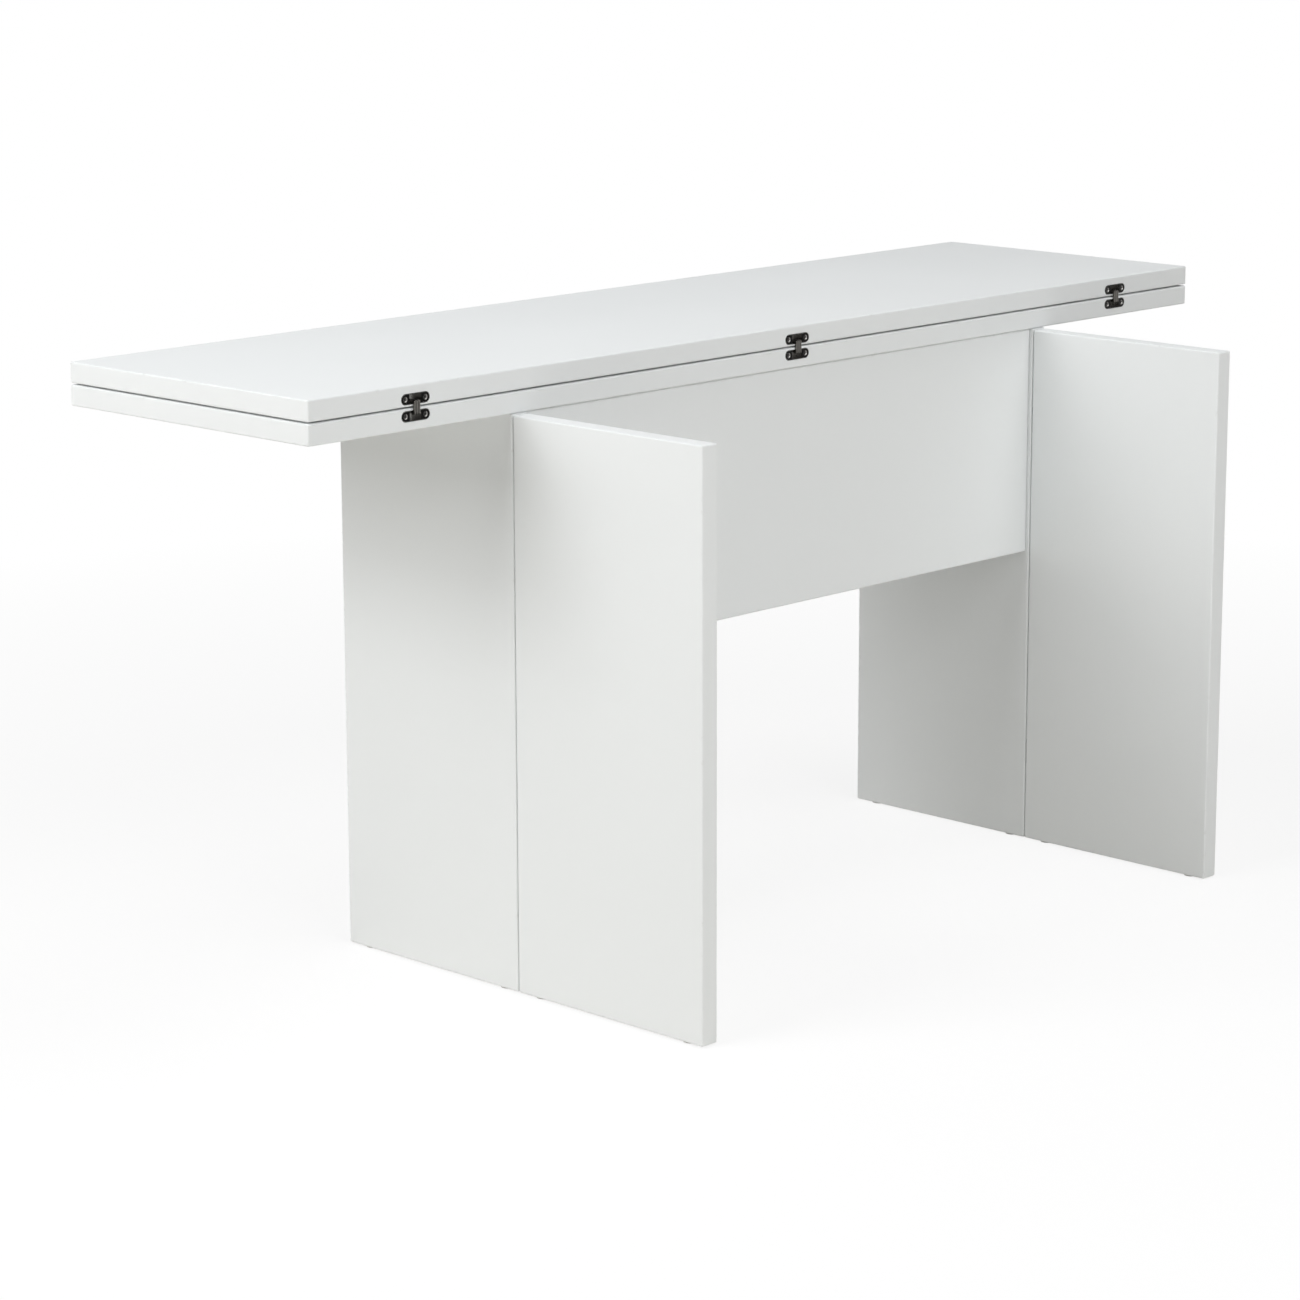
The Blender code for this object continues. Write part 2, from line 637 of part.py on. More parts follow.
def fit_brackets(zinc):
    """Angle brackets behind the centre panel, which hold the lower leaf down on panel and legs."""
    mesh = bracket_mesh()
    bend_z = UNDERSIDE - SEAT
    leg_middle = (PANEL_BACK + EDGE_Y + LEG_DEPTH) / 2
    for side, sign in SIDES.items():
        inward = Vector((-sign, 0, 0))
        corner = (sign * (LEG_INNER - SEAT), leg_middle, bend_z)
        place(f"{side}_leg_bracket", mesh, zinc, axes(corner, inward, DOWN.cross(inward), DOWN))
        corner = (sign * PANEL_BRACKET_SPACING / 2, PANEL_BACK + SEAT, bend_z)
        place(f"panel_bracket_{side}", mesh, zinc, axes(corner, BACK, DOWN.cross(BACK), DOWN))


def build():
    """The whole table."""
    for item in list(bpy.data.objects):
        bpy.data.objects.remove(item)
    white = finish("satin_white", (0.83, 0.84, 0.83), 0.35)
    casting = finish("dark_zinc", (0.05, 0.05, 0.055), 0.45, 1.0)
    steel = finish("grey_steel", (0.30, 0.29, 0.28), 0.40, 1.0)
    zinc = finish("bright_zinc", (0.65, 0.65, 0.63), 0.35, 1.0)
    nylon = finish("grey_nylon", (0.55, 0.55, 0.54), 0.5)
    beech = finish("beech", (0.62, 0.44, 0.27), 0.6)
    hinges = CrossHinges(casting, steel)
    glide = glide_mesh()
    build_top(white, hinges)
    legs = {side: build_leg(side, white, hinges, glide, nylon) for side in SIDES}
    fit_panel(centre_panel(white), legs, zinc, beech)
    fit_brackets(zinc)


build()
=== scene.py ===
"""Looks of a white folding table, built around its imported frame.

The boards get matt lacquer and eased edges, the cross hinges get cast housings, packs of steel link
plates and countersunk screws, and the frame behind gets its zinc fittings. Lengths are in metres.
"""

import json
import logging
import math
from collections.abc import Iterable, Sequence
from dataclasses import dataclass, field, fields, replace
from enum import Enum
from typing import Any, ClassVar

import bmesh
import bpy
from bpy.types import Material, Mesh, Node, NodeSocket, NodeTree, Object, World
from mathutils import Matrix, Vector


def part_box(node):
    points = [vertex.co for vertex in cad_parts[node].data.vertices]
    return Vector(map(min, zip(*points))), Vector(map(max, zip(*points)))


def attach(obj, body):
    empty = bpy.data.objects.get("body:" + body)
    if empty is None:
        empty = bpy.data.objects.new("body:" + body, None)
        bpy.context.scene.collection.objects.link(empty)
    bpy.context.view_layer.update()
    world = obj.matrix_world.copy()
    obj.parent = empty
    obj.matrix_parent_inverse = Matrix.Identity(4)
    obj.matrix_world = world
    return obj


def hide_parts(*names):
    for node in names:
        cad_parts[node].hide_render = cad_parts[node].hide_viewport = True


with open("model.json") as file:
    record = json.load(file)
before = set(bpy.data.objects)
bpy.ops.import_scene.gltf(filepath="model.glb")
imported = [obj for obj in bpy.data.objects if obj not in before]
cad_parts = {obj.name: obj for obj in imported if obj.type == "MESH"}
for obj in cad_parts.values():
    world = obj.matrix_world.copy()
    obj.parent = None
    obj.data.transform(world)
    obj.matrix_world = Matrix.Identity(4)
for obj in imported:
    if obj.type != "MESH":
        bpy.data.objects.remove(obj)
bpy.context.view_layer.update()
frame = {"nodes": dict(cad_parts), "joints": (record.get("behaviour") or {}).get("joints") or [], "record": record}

SEAT = 0.0003  # clearance round a piece that is let into another
SHARP_ANGLE = math.radians(32)
FLAT_FACES_LEAD = 100  # weight of large faces in the shading of an edge
CURVE_STEPS = 20  # facets in a half circle
ROUND_PROFILE = 0.5  # of a bevel
EASED_MIDDLE = 0.3  # how far in the middle of an eased corner lies, as a share of the ease
PLATE_PLACE = "plate_place"  # where a point lies on its own plate, seen from the front
LOW_INSET = "low_inset"  # how far a point lies inside its board's lowest corner
HIGH_INSET = "high_inset"
SCREW_FACING = "facing"
NOISE_RANGE = (0.3, 0.7)  # what a noise mostly keeps within
EVEN = (1.0, 1.0, 1.0)  # stretch of a grain that runs no way
WHITE = (1.0, 1.0, 1.0, 1.0)

LOG = logging.getLogger("folding_table")

Triple = tuple[float, float, float]
Outline = list[tuple[float, float]]
Feeds = dict[str | int, Any]
Values = dict[str, Any]


class Way(Enum):
    """Directions of the table."""

    RIGHT = (1, 0, 0)
    LEFT = (-1, 0, 0)
    FRONT = (0, -1, 0)
    BACK = (0, 1, 0)
    UP = (0, 0, 1)
    DOWN = (0, 0, -1)

    @property
    def vector(self) -> Vector:
        """The direction as a vector."""
        return Vector(self.value)


SIDES = {"left": Way.LEFT, "right": Way.RIGHT}  # with the way outwards
LEVELS = ("low", "high")


class Slot(Enum):
    """Material slots of the record."""

    BOARD = "white_board"
    CASTING = "hinge_casting"
    LINK = "hinge_steel"
    BRACKET = "bracket_steel"
    FITTING = "zinc_fitting"
    GLIDE = "glide_nylon"
    DOWEL = "dowel_beech"


class Pack(Enum):
    """How many plates an arm of a hinge has."""

    PAIR = 2
    TRIPLE = 3


class Effect(Enum):
    """Shader effects that several finishes share."""

    GRAIN = "fine_grain"
    HANDLING = "handling_marks"
    # lighter rim: wear, and on the housings also a painted highlight of the edge
    RIM = "rim_wear"


# Node trees


class NodeSheet:
    """Adds nodes to a tree and wires them."""

    MIX_COLOURS = (6, 7)  # inputs of a Mix node that take colours
    MIXED_COLOUR = 2  # output of a Mix node that gives a colour

    def __init__(self, tree: NodeTree) -> None:
        """Takes the tree to draw in."""
        self.tree = tree

    def add(self, kind: str, feeds: Feeds | None = None, **settings: Any) -> Node:
        """Adds one node.

        Args:
            kind: Type of the node.
            feeds: For each input, by name or number, a value or the socket that feeds it.
            settings: Properties of the node.

        Returns:
            The new node.
        """
        node = self.tree.nodes.new(kind)
        for key, value in settings.items():
            setattr(node, key, value)
        for key, value in (feeds or {}).items():
            if isinstance(value, NodeSocket):
                self.tree.links.new(value, node.inputs[key])
            else:
                node.inputs[key].default_value = value
        return node

    def result(self, kind: str, feeds: Feeds | None = None, **settings: Any) -> NodeSocket:
        """The first output of a new node."""
        return self.add(kind, feeds, **settings).outputs[0]

    def math(self, operation: str, *values: Any) -> NodeSocket:
        """The result of a Math node with these operands, numbers or sockets."""
        return self.result("ShaderNodeMath", dict(enumerate(values)), operation=operation)

    def vector_math(self, operation: str, *values: Any) -> Node:
        """A Vector Math node with these operands."""
        return self.add("ShaderNodeVectorMath", dict(enumerate(values)), operation=operation)

    def attribute(self, name: str) -> NodeSocket:
        """A vector that the mesh holds for each of its points."""
        return self.add("ShaderNodeAttribute", attribute_name=name).outputs["Vector"]

    def spread(self, value: Any, low: float, high: float, to_low: Any, to_high: Any) -> NodeSocket:
        """Adds a Map Range node.

        Args:
            value: The socket to map.
            low: Value that becomes to_low.
            high: Value that becomes to_high.
            to_low: Start of the new range, a number or a socket.
            to_high: End of the new range, a number or a socket.

        Returns:
            The result's socket.
        """
        feeds = {"Value": value, "From Min": low, "From Max": high, "To Min": to_low, "To Max": to_high}
        return self.result("ShaderNodeMapRange", feeds)

    def mix(self, share: Any, first: Any, second: Any) -> NodeSocket:
        """Mixes two colours.

        Args:
            share: Share of the second colour.
            first: A colour or a socket.
            second: A colour or a socket.

        Returns:
            The mixed colour's socket.
        """
        colours = [(*c, 1.0) if isinstance(c, tuple) else c for c in (first, second)]
        feeds = {0: share, **dict(zip(self.MIX_COLOURS, colours))}
        return self.add("ShaderNodeMix", feeds, data_type="RGBA").outputs[self.MIXED_COLOUR]

    def mix_shaders(self, share: Any, first: NodeSocket, second: NodeSocket) -> NodeSocket:
        """Mixes two shaders, by the share of the second."""
        return self.result("ShaderNodeMixShader", dict(enumerate((share, first, second))))

    def noise(self, scale: Any, detail: Any, vector: Any = None) -> NodeSocket:
        """Adds a noise over the piece's own coordinates.

        Args:
            scale: Waves in a metre.
            detail: Octaves.
            vector: Coordinates, if they aren't the piece's own.

        Returns:
            The noise's value, from 0 to 1.
        """
        place = vector or self.add("ShaderNodeTexCoord").outputs["Object"]
        return self.result("ShaderNodeTexNoise", {"Vector": place, "Scale": scale, "Detail": detail})


class GroupSheet(NodeSheet):
    """A sheet for a node group of its own."""

    def __init__(self, name: str, kind: str, inputs: dict[str, str], output: tuple[str, str]) -> None:
        """Makes the group with its named sockets.

        Args:
            name: Name of the group.
            kind: Type of its tree.
            inputs: Socket type for each input's name.
            output: Name and socket type of the output.
        """
        super().__init__(bpy.data.node_groups.new(name, kind))
        sockets = [("INPUT", *entry) for entry in inputs.items()] + [("OUTPUT", *output)]
        for way, socket, holds in sockets:
            self.tree.interface.new_socket(name=socket, in_out=way, socket_type=f"NodeSocket{holds}")
        self.given = self.add("NodeGroupInput").outputs

    def put_out(self, socket: NodeSocket) -> NodeTree:
        """Ends the group with its output, and returns its tree."""
        self.add("NodeGroupOutput", {0: socket})
        return self.tree


class ShapeSheet(GroupSheet):
    """A sheet for a group that makes geometry and gives it a finish."""

    COMPARED = (2, 3)  # inputs of a Compare node that take whole numbers
    RANDOM_INPUTS = (2, 3, 8)  # lowest, highest and seed of a Random Value node for plain numbers
    RANDOM_NUMBER = 1  # its output

    def __init__(self, name: str, inputs: dict[str, str], output: str) -> None:
        """Makes the group, with one more input for the finish."""
        inputs = inputs | {"Finish": "Material"}
        super().__init__(name, "GeometryNodeTree", inputs, (output, "Geometry"))

    def scaled(self, vector: Any, factor: Any) -> NodeSocket:
        """A vector times a factor."""
        feeds = {"Vector": vector, "Scale": factor}
        return self.result("ShaderNodeVectorMath", feeds, operation="SCALE")

    def upright(self, height: Any) -> NodeSocket:
        """A vector along Z."""
        return self.result("ShaderNodeCombineXYZ", {"Z": height})

    def shifted(self, shape: Any, offset: Any) -> NodeSocket:
        """A shape at another place."""
        return self.result("GeometryNodeTransform", {"Geometry": shape, "Translation": offset})

    def turn_to(self, direction: Any) -> NodeSocket:
        """The turn that brings Z into a direction."""
        feeds = {"Vector": direction}
        return self.result("FunctionNodeAlignRotationToVector", feeds, axis="Z")

    def placed(self, shape: Any, points: Any, **feeds: Any) -> NodeSocket:
        """A shape on every point, with other inputs of the node by name."""
        feeds = {"Points": points, "Instance": shape, **feeds}
        return self.result("GeometryNodeInstanceOnPoints", feeds)

    def equal(self, first: Any, second: Any) -> NodeSocket:
        """Whether two whole numbers are the same."""
        feeds = dict(zip(self.COMPARED, (first, second)))
        return self.result("FunctionNodeCompare", feeds, data_type="INT", operation="EQUAL")

    def chance(self, *span_and_seed: Any) -> NodeSocket:
        """A random number for each point, from its lowest and highest value and a seed."""
        feeds = dict(zip(self.RANDOM_INPUTS, span_and_seed))
        return self.add("FunctionNodeRandomValue", feeds, data_type="FLOAT").outputs[self.RANDOM_NUMBER]

    def gathered(self, node: Node, key: str, *shapes: Any) -> NodeSocket:
        """Links several shapes to one input of a node.

        Args:
            node: The node.
            key: Name of the input.
            shapes: The shapes, in order.

        Returns:
            The node's output.
        """
        for shape in shapes:
            self.tree.links.new(shape, node.inputs[key])
        return node.outputs[0]

    def joined(self, *shapes: Any) -> NodeSocket:
        """Several shapes as one."""
        return self.gathered(self.add("GeometryNodeJoinGeometry"), "Geometry", *shapes)

    def finished(self, shape: Any) -> NodeTree:
        """Ends the group with the shape as a plain mesh in its finish.

        Args:
            shape: The shape, which may hold instances.

        Returns:
            The group's tree.
        """
        whole = self.result("GeometryNodeRealizeInstances", {"Geometry": shape})
        feeds = {"Geometry": whole, "Material": self.given["Finish"]}
        return self.put_out(self.result("GeometryNodeSetMaterial", feeds))


class SurfaceEffects:
    """The shared shader groups, each built once."""

    PATCH_DETAIL = 4.0
    WEAR_DETAIL = 3.0
    WEAR_NOISE = (0.35, 0.6)  # from noise that leaves the coat whole to noise that breaks it

    def __init__(self) -> None:
        """Builds every group."""
        self.trees = {
            Effect.GRAIN: self._grain(),
            Effect.HANDLING: self._handling(),
            Effect.RIM: self._rim(),
        }

    def place(self, sheet: NodeSheet, effect: Effect, feeds: Feeds) -> NodeSocket:
        """Puts an effect into a material.

        Args:
            sheet: The material's tree.
            effect: Which effect.
            feeds: Values of the group's inputs.

        Returns:
            The effect's output.
        """
        return sheet.result("ShaderNodeGroup", feeds, node_tree=self.trees[effect])

    @staticmethod
    def _group(effect: Effect, inputs: dict[str, str], output: str) -> GroupSheet:
        """Starts the group of an effect that puts out one value."""
        return GroupSheet(effect.value, "ShaderNodeTree", inputs, (output, "Float"))

    def _grain(self) -> NodeTree:
        """Fine unevenness, drawn out along an axis where Stretch says so.

        Returns:
            The group.
        """
        inputs = {"Scale": "Float", "Detail": "Float", "Stretch": "Vector"}
        sheet = self._group(Effect.GRAIN, inputs, "Height")
        place = sheet.add("ShaderNodeTexCoord").outputs["Object"]
        drawn = sheet.vector_math("MULTIPLY", place, sheet.given["Stretch"]).outputs[0]
        return sheet.put_out(sheet.noise(sheet.given["Scale"], sheet.given["Detail"], drawn))

    def _handling(self) -> NodeTree:
        """Roughness that wanders between two values, as on a surface that hands have touched.

        Returns:
            The group.
        """
        inputs = dict.fromkeys(("Scale", "Low", "High"), "Float")
        sheet = self._group(Effect.HANDLING, inputs, "Roughness")
        patches = sheet.noise(sheet.given["Scale"], self.PATCH_DETAIL)
        roughness = sheet.spread(patches, *NOISE_RANGE, sheet.given["Low"], sheet.given["High"])
        return sheet.put_out(roughness)

    def _rim(self) -> NodeTree:
        """Lighter rim of a round-ended plate, worn and on the housings also a painted edge highlight, broken by
        noise, and bare metal below its face.

        Returns:
            The group.
        """
        inputs = dict.fromkeys(("Half Length", "Radius", "Reach", "Scale", "Coat Depth"), "Float")
        sheet = self._group(Effect.RIM, inputs, "Mask")
        given = sheet.given
        x, y, z = sheet.add("ShaderNodeSeparateXYZ", {"Vector": sheet.attribute(PLATE_PLACE)}).outputs
        past = sheet.math("SUBTRACT", sheet.math("ABSOLUTE", y), given["Half Length"])
        flat = sheet.result("ShaderNodeCombineXYZ", {"X": x, "Y": sheet.math("MAXIMUM", past, 0.0)})
        out = sheet.vector_math("LENGTH", flat).outputs["Value"]
        inset = sheet.math("SUBTRACT", given["Radius"], out)
        near = sheet.math("SUBTRACT", 1.0, sheet.math("DIVIDE", inset, given["Reach"]))
        breaks = sheet.noise(given["Scale"], self.WEAR_DETAIL)
        broken = sheet.spread(breaks, *self.WEAR_NOISE, 0.0, 1.0)
        rim = sheet.math("MULTIPLY", sheet.result("ShaderNodeClamp", {"Value": near}), broken)
        bare = sheet.math("LESS_THAN", sheet.math("ADD", z, given["Coat Depth"]), 0.0)
        return sheet.put_out(sheet.math("MAXIMUM", rim, bare))


# Finishes


@dataclass(frozen=True)
class Look:
    """What a finish feeds its shader with."""

    colour: NodeSocket
    roughness: NodeSocket
    height: NodeSocket  # from 0 to 1
    depth: float  # what a height of 1 stands for


@dataclass(frozen=True, kw_only=True)
class Finish:
    """A material; each kind of finish draws a look of its own."""

    name: str
    roughness: tuple[float, float]  # lowest and highest
    patch_scale: float = 60.0  # of the patches in which it wanders

    METALLIC: ClassVar[float] = 0.0

    def material(self, effects: SurfaceEffects) -> Material:
        """Builds the finish.

        Args:
            effects: The shared effects.

        Returns:
            The material.
        """
        material = bpy.data.materials.new(self.name)
        material.use_nodes = True
        sheet = NodeSheet(material.node_tree)
        look = self.look(sheet, effects)
        feeds = {"Height": look.height, "Distance": look.depth, "Strength": 1.0}
        normal = sheet.add("ShaderNodeBump", feeds).outputs["Normal"]
        feeds = {"Base Color": look.colour, "Roughness": look.roughness, "Normal": normal}
        shader = material.node_tree.nodes["Principled BSDF"]
        for name, socket in feeds.items():
            sheet.tree.links.new(socket, shader.inputs[name])
        shader.inputs["Metallic"].default_value = self.METALLIC
        return material

    def look(self, sheet: NodeSheet, effects: SurfaceEffects) -> Look:
        """Draws the nodes of the look."""
        raise NotImplementedError

    def handled(self, sheet: NodeSheet, effects: SurfaceEffects) -> NodeSocket:
        """The roughness, which wanders between the finish's two values."""
        feeds = dict(zip(("Scale", "Low", "High"), (self.patch_scale, *self.roughness)))
        return effects.place(sheet, Effect.HANDLING, feeds)


@dataclass(frozen=True, kw_only=True)
class Lacquer(Finish):
    """Matt white lacquer: faint clouds, a rolled-on texture and small scuffs along the edges."""

    name: str = "matt_white_lacquer"
    roughness: tuple[float, float] = (0.6, 0.7)
    patch_scale: float = 6.0
    white: Triple = (0.831, 0.852, 0.857)
    cloud: Triple = (0.811, 0.832, 0.835)
    cloud_scale: float = 3.5
    cloud_detail: float = 3.0
    peel_scale: float = 520.0
    peel_detail: float = 1.0
    peel_depth: float = 0.000012
    scuff: Triple = (0.56, 0.56, 0.54)
    scuff_scale: float = 70.0
    scuff_detail: float = 6.0
    scuff_noise: tuple[float, float] = (0.62, 0.72)
    scuff_share: float = 0.35
    scuff_reach: float = 0.0035

    def look(self, sheet: NodeSheet, effects: SurfaceEffects) -> Look:
        """Draws the lacquer.

        Args:
            sheet: The material's tree.
            effects: The shared effects.

        Returns:
            Its look.
        """
        base = sheet.mix(sheet.noise(self.cloud_scale, self.cloud_detail), self.white, self.cloud)
        specks = sheet.noise(self.scuff_scale, self.scuff_detail)
        chips = sheet.spread(specks, *self.scuff_noise, 0.0, self.scuff_share)
        scuffs = sheet.math("MULTIPLY", chips, self._edge_share(sheet))
        feeds = {"Scale": self.peel_scale, "Detail": self.peel_detail, "Stretch": EVEN}
        peel = effects.place(sheet, Effect.GRAIN, feeds)
        colour = sheet.mix(scuffs, base, self.scuff)
        return Look(colour, self.handled(sheet, effects), peel, self.peel_depth)

    def _edge_share(self, sheet: NodeSheet) -> NodeSocket:
        """A mask that is 1 on the edges of a board and 0 away from them.

        Args:
            sheet: The material's tree.

        Returns:
            The mask's socket.
        """
        insets = sheet.vector_math("MINIMUM", sheet.attribute(LOW_INSET), sheet.attribute(HIGH_INSET))
        x, y, z = sheet.add("ShaderNodeSeparateXYZ", {"Vector": insets.outputs[0]}).outputs
        lesser = sheet.math("MINIMUM", x, y)
        greater = sheet.math("MAXIMUM", x, y)
        middle = sheet.math("MAXIMUM", lesser, sheet.math("MINIMUM", greater, z))
        return sheet.spread(middle, 0.0, self.scuff_reach, 1.0, 0.0)


@dataclass(frozen=True)
class RimWearAndHighlight:
    """What shows where the coat of a round-ended plate is worn off; on the housings it also paints in the
    highlight of the eased edge.
    """

    colour: Triple
    roughness: float
    reach: float
    radius: float  # of the plate's ends
    half_length: float = 0.0  # of its straight part
    scale: float = 400.0
    coat_depth: float = 1.0  # below it, what was cut into the face is bare

    @property
    def feeds(self) -> Feeds:
        """Values of the effect's inputs."""
        feeds = {"Half Length": self.half_length, "Radius": self.radius, "Reach": self.reach}
        return feeds | {"Scale": self.scale, "Coat Depth": self.coat_depth}


@dataclass(frozen=True, kw_only=True)
class Grained(Finish):
    """A material that is shaded by its grain and, on a plate, lighter at the rim: wear, and on the housings a
    painted edge highlight.
    """

    colour: Triple
    shade: Triple
    grain_scale: float
    grain_depth: float
    grain_detail: float = 3.0
    stretch: Triple = EVEN
    wear: RimWearAndHighlight | None = None

    def look(self, sheet: NodeSheet, effects: SurfaceEffects) -> Look:
        """Draws the grain and the wear.

        Args:
            sheet: The material's tree.
            effects: The shared effects.

        Returns:
            Its look.
        """
        feeds = {"Scale": self.grain_scale, "Detail": self.grain_detail, "Stretch": self.stretch}
        grain = effects.place(sheet, Effect.GRAIN, feeds)
        colour = self._shaded(sheet, grain)
        rough = self.handled(sheet, effects)
        # a lighter rim: wear, and on the housings also a painted highlight of the edge
        if self.wear:
            worn = effects.place(sheet, Effect.RIM, self.wear.feeds)
            colour = sheet.mix(worn, colour, self.wear.colour)
            rough = sheet.spread(worn, 0.0, 1.0, rough, self.wear.roughness)
        return Look(colour, rough, grain, self.grain_depth)

    def _shaded(self, sheet: NodeSheet, grain: NodeSocket) -> NodeSocket:
        """The colour, with its shade where the grain is high."""
        return sheet.mix(grain, self.colour, self.shade)


@dataclass(frozen=True, kw_only=True)
class Metal(Grained):
    """A metal, with its shade where the grain is low."""

    METALLIC: ClassVar[float] = 1.0

    def _shaded(self, sheet: NodeSheet, grain: NodeSocket) -> NodeSocket:
        """The colour, with a clear difference between high and low grain."""
        return sheet.mix(sheet.spread(grain, *NOISE_RANGE, 0.0, 1.0), self.shade, self.colour)


GUNMETAL = Metal(
    name="gunmetal",
    colour=(0.012, 0.0117, 0.0113),
    shade=(0.005, 0.005, 0.005),
    roughness=(0.27, 0.43),
    grain_scale=1500.0,
    grain_depth=0.00003,
)
LINK_STEEL = Metal(
    name="link_steel",
    colour=(0.23, 0.218, 0.2),
    shade=(0.13, 0.123, 0.114),
    roughness=(0.3, 0.45),
    grain_scale=1400.0,
    grain_depth=0.000012,
    stretch=(1.0, 1.0, 0.08),
)
DULL_LINK_STEEL = replace(
    LINK_STEEL,
    name="dull_link_steel",
    colour=(0.12, 0.114, 0.105),
    shade=(0.07, 0.066, 0.061),
    roughness=(0.34, 0.5),
)
SCREW_STEEL = Metal(
    name="screw_steel",
    colour=(0.07, 0.069, 0.066),
    shade=(0.045, 0.044, 0.043),
    roughness=(0.16, 0.28),
    grain_scale=900.0,
    grain_depth=0.000008,
)
ZINC_PLATE = Metal(
    name="zinc_plate",
    colour=(0.66, 0.66, 0.63),
    shade=(0.52, 0.53, 0.52),
    roughness=(0.26, 0.42),
    grain_scale=500.0,
    grain_depth=0.000008,
)
CAST_ZINC = Metal(
    name="cast_zinc",
    colour=(0.52, 0.52, 0.50),
    shade=(0.40, 0.40, 0.39),
    roughness=(0.38, 0.55),
    grain_scale=1100.0,
    grain_depth=0.00003,
)
PALE_NYLON = Grained(
    name="pale_nylon",
    colour=(0.74, 0.74, 0.72),
    shade=(0.62, 0.62, 0.6),
    roughness=(0.42, 0.6),
    patch_scale=150.0,
    grain_scale=900.0,
    grain_depth=0.00004,
    grain_detail=2.0,
)
BEECH = Grained(
    name="beech",
    colour=(0.60, 0.42, 0.25),
    shade=(0.45, 0.29, 0.16),
    roughness=(0.55, 0.7),
    patch_scale=120.0,
    grain_scale=700.0,
    grain_depth=0.00006,
    grain_detail=4.0,
    stretch=(0.06, 1.0, 1.0),
)


# Meshes


def arc(x: float, y: float, radius: float, start: float, turn: float) -> Outline:
    """Points round an arc.

    Args:
        x: X of its centre.
        y: Y of its centre.
        radius: Its radius.
        start: Angle of the first point.
        turn: Angle from the first point to the last.

    Returns:
        The points.
    """
    steps = max(2, round(CURVE_STEPS * abs(turn) / math.pi))
    angles = [start + turn * i / steps for i in range(steps + 1)]
    return [(x + radius * math.cos(a), y + radius * math.sin(a)) for a in angles]


def circle(radius: float) -> Outline:
    """A circle, counter-clockwise."""
    return arc(0.0, 0.0, radius, 0.0, math.tau)[:-1]


def stadium(length: float, width: float) -> Outline:
    """A round-ended outline.

    Args:
        length: Whole length, along Y.
        width: Whole width, along X.

    Returns:
        The outline, counter-clockwise.
    """
    radius = width / 2
    upper = arc(0.0, length / 2 - radius, radius, 0.0, math.pi)
    lower = [(-x, -y) for x, y in upper]
    return upper + lower


def rounded_rectangle(length: float, width: float, corner: float) -> Outline:
    """A rectangle with round corners.

    Args:
        length: Whole length, along Y.
        width: Whole width, along X.
        corner: Radius of the corners.

    Returns:
        The outline, counter-clockwise.
    """
    out, up = width / 2 - corner, length / 2 - corner
    points = []
    for quarter, (x, y) in enumerate(((out, up), (-out, up), (-out, -up), (out, -up))):
        points += arc(x, y, corner, quarter * math.pi / 2, math.pi / 2)
    return points


def loft(name: str, layers: Sequence[tuple[Outline, float]]) -> Mesh:
    """Skins outlines that lie above each other, and closes both ends.

    Args:
        name: Name of the mesh.
        layers: Outlines of equal length with their heights.

    Returns:
        A closed mesh.
    """
    bm = bmesh.new()
    rings = [[bm.verts.new((x, y, z)) for x, y in outline] for outline, z in layers]
    for lower, upper in zip(rings, rings[1:]):
        for i, corner in enumerate(lower):
            j = (i + 1) % len(lower)
            bm.faces.new((corner, lower[j], upper[j], upper[i]))
    bm.faces.new(rings[0])
    bm.faces.new(rings[-1])
    bmesh.ops.recalc_face_normals(bm, faces=bm.faces)
    return as_mesh(name, bm)


def prism(name: str, outline: Outline, low: float, high: float) -> Mesh:
    """An outline drawn up from one height to another."""
    return loft(name, [(outline, low), (outline, high)])


def block(name: str, low: Sequence[float], high: Sequence[float]) -> Mesh:
    """A box between two corners."""
    outline = [(low[0], low[1]), (high[0], low[1]), (high[0], high[1]), (low[0], high[1])]
    return prism(name, outline, low[2], high[2])


def as_mesh(name: str, bm: bmesh.types.BMesh) -> Mesh:
    """Turns a bmesh into a mesh and frees it.

    Args:
        name: Name of the mesh.
        bm: The bmesh.

    Returns:
        The mesh.
    """
    mesh = bpy.data.meshes.new(name)
    bm.to_mesh(mesh)
    bm.free()
    return mesh


def evaluated(item: Object) -> Mesh:
    """A plain mesh of an object as its modifiers leave it."""
    graph = bpy.context.evaluated_depsgraph_get()
    return bpy.data.meshes.new_from_object(item.evaluated_get(graph), depsgraph=graph)


def shown(name: str, mesh: Mesh) -> Object:
    """Links a mesh into the scene as an object at the origin.

    Args:
        name: Name of the object.
        mesh: Its mesh.

    Returns:
        The object.
    """
    item = bpy.data.objects.new(name, mesh)
    bpy.context.scene.collection.objects.link(item)
    return item


def carved(base: Mesh, joined: Iterable[Mesh] = (), removed: Iterable[Mesh] = ()) -> Mesh:
    """Joins meshes to a base and cuts others out of it.

    Args:
        base: Mesh to start from.
        joined: Meshes to add.
        removed: Meshes to cut out.

    Returns:
        The resulting mesh.
    """
    item = shown(base.name, base)
    helpers = []
    for operation, meshes in (("UNION", joined), ("DIFFERENCE", removed)):
        for mesh in meshes:
            helpers.append(shown(f"{base.name}_helper", mesh))
            modifier = item.modifiers.new(operation, "BOOLEAN")
            modifier.operation = operation
            modifier.solver = "EXACT"
            modifier.object = helpers[-1]
    mesh = evaluated(item)
    for helper in [item, *helpers]:
        bpy.data.objects.remove(helper)
    return mesh


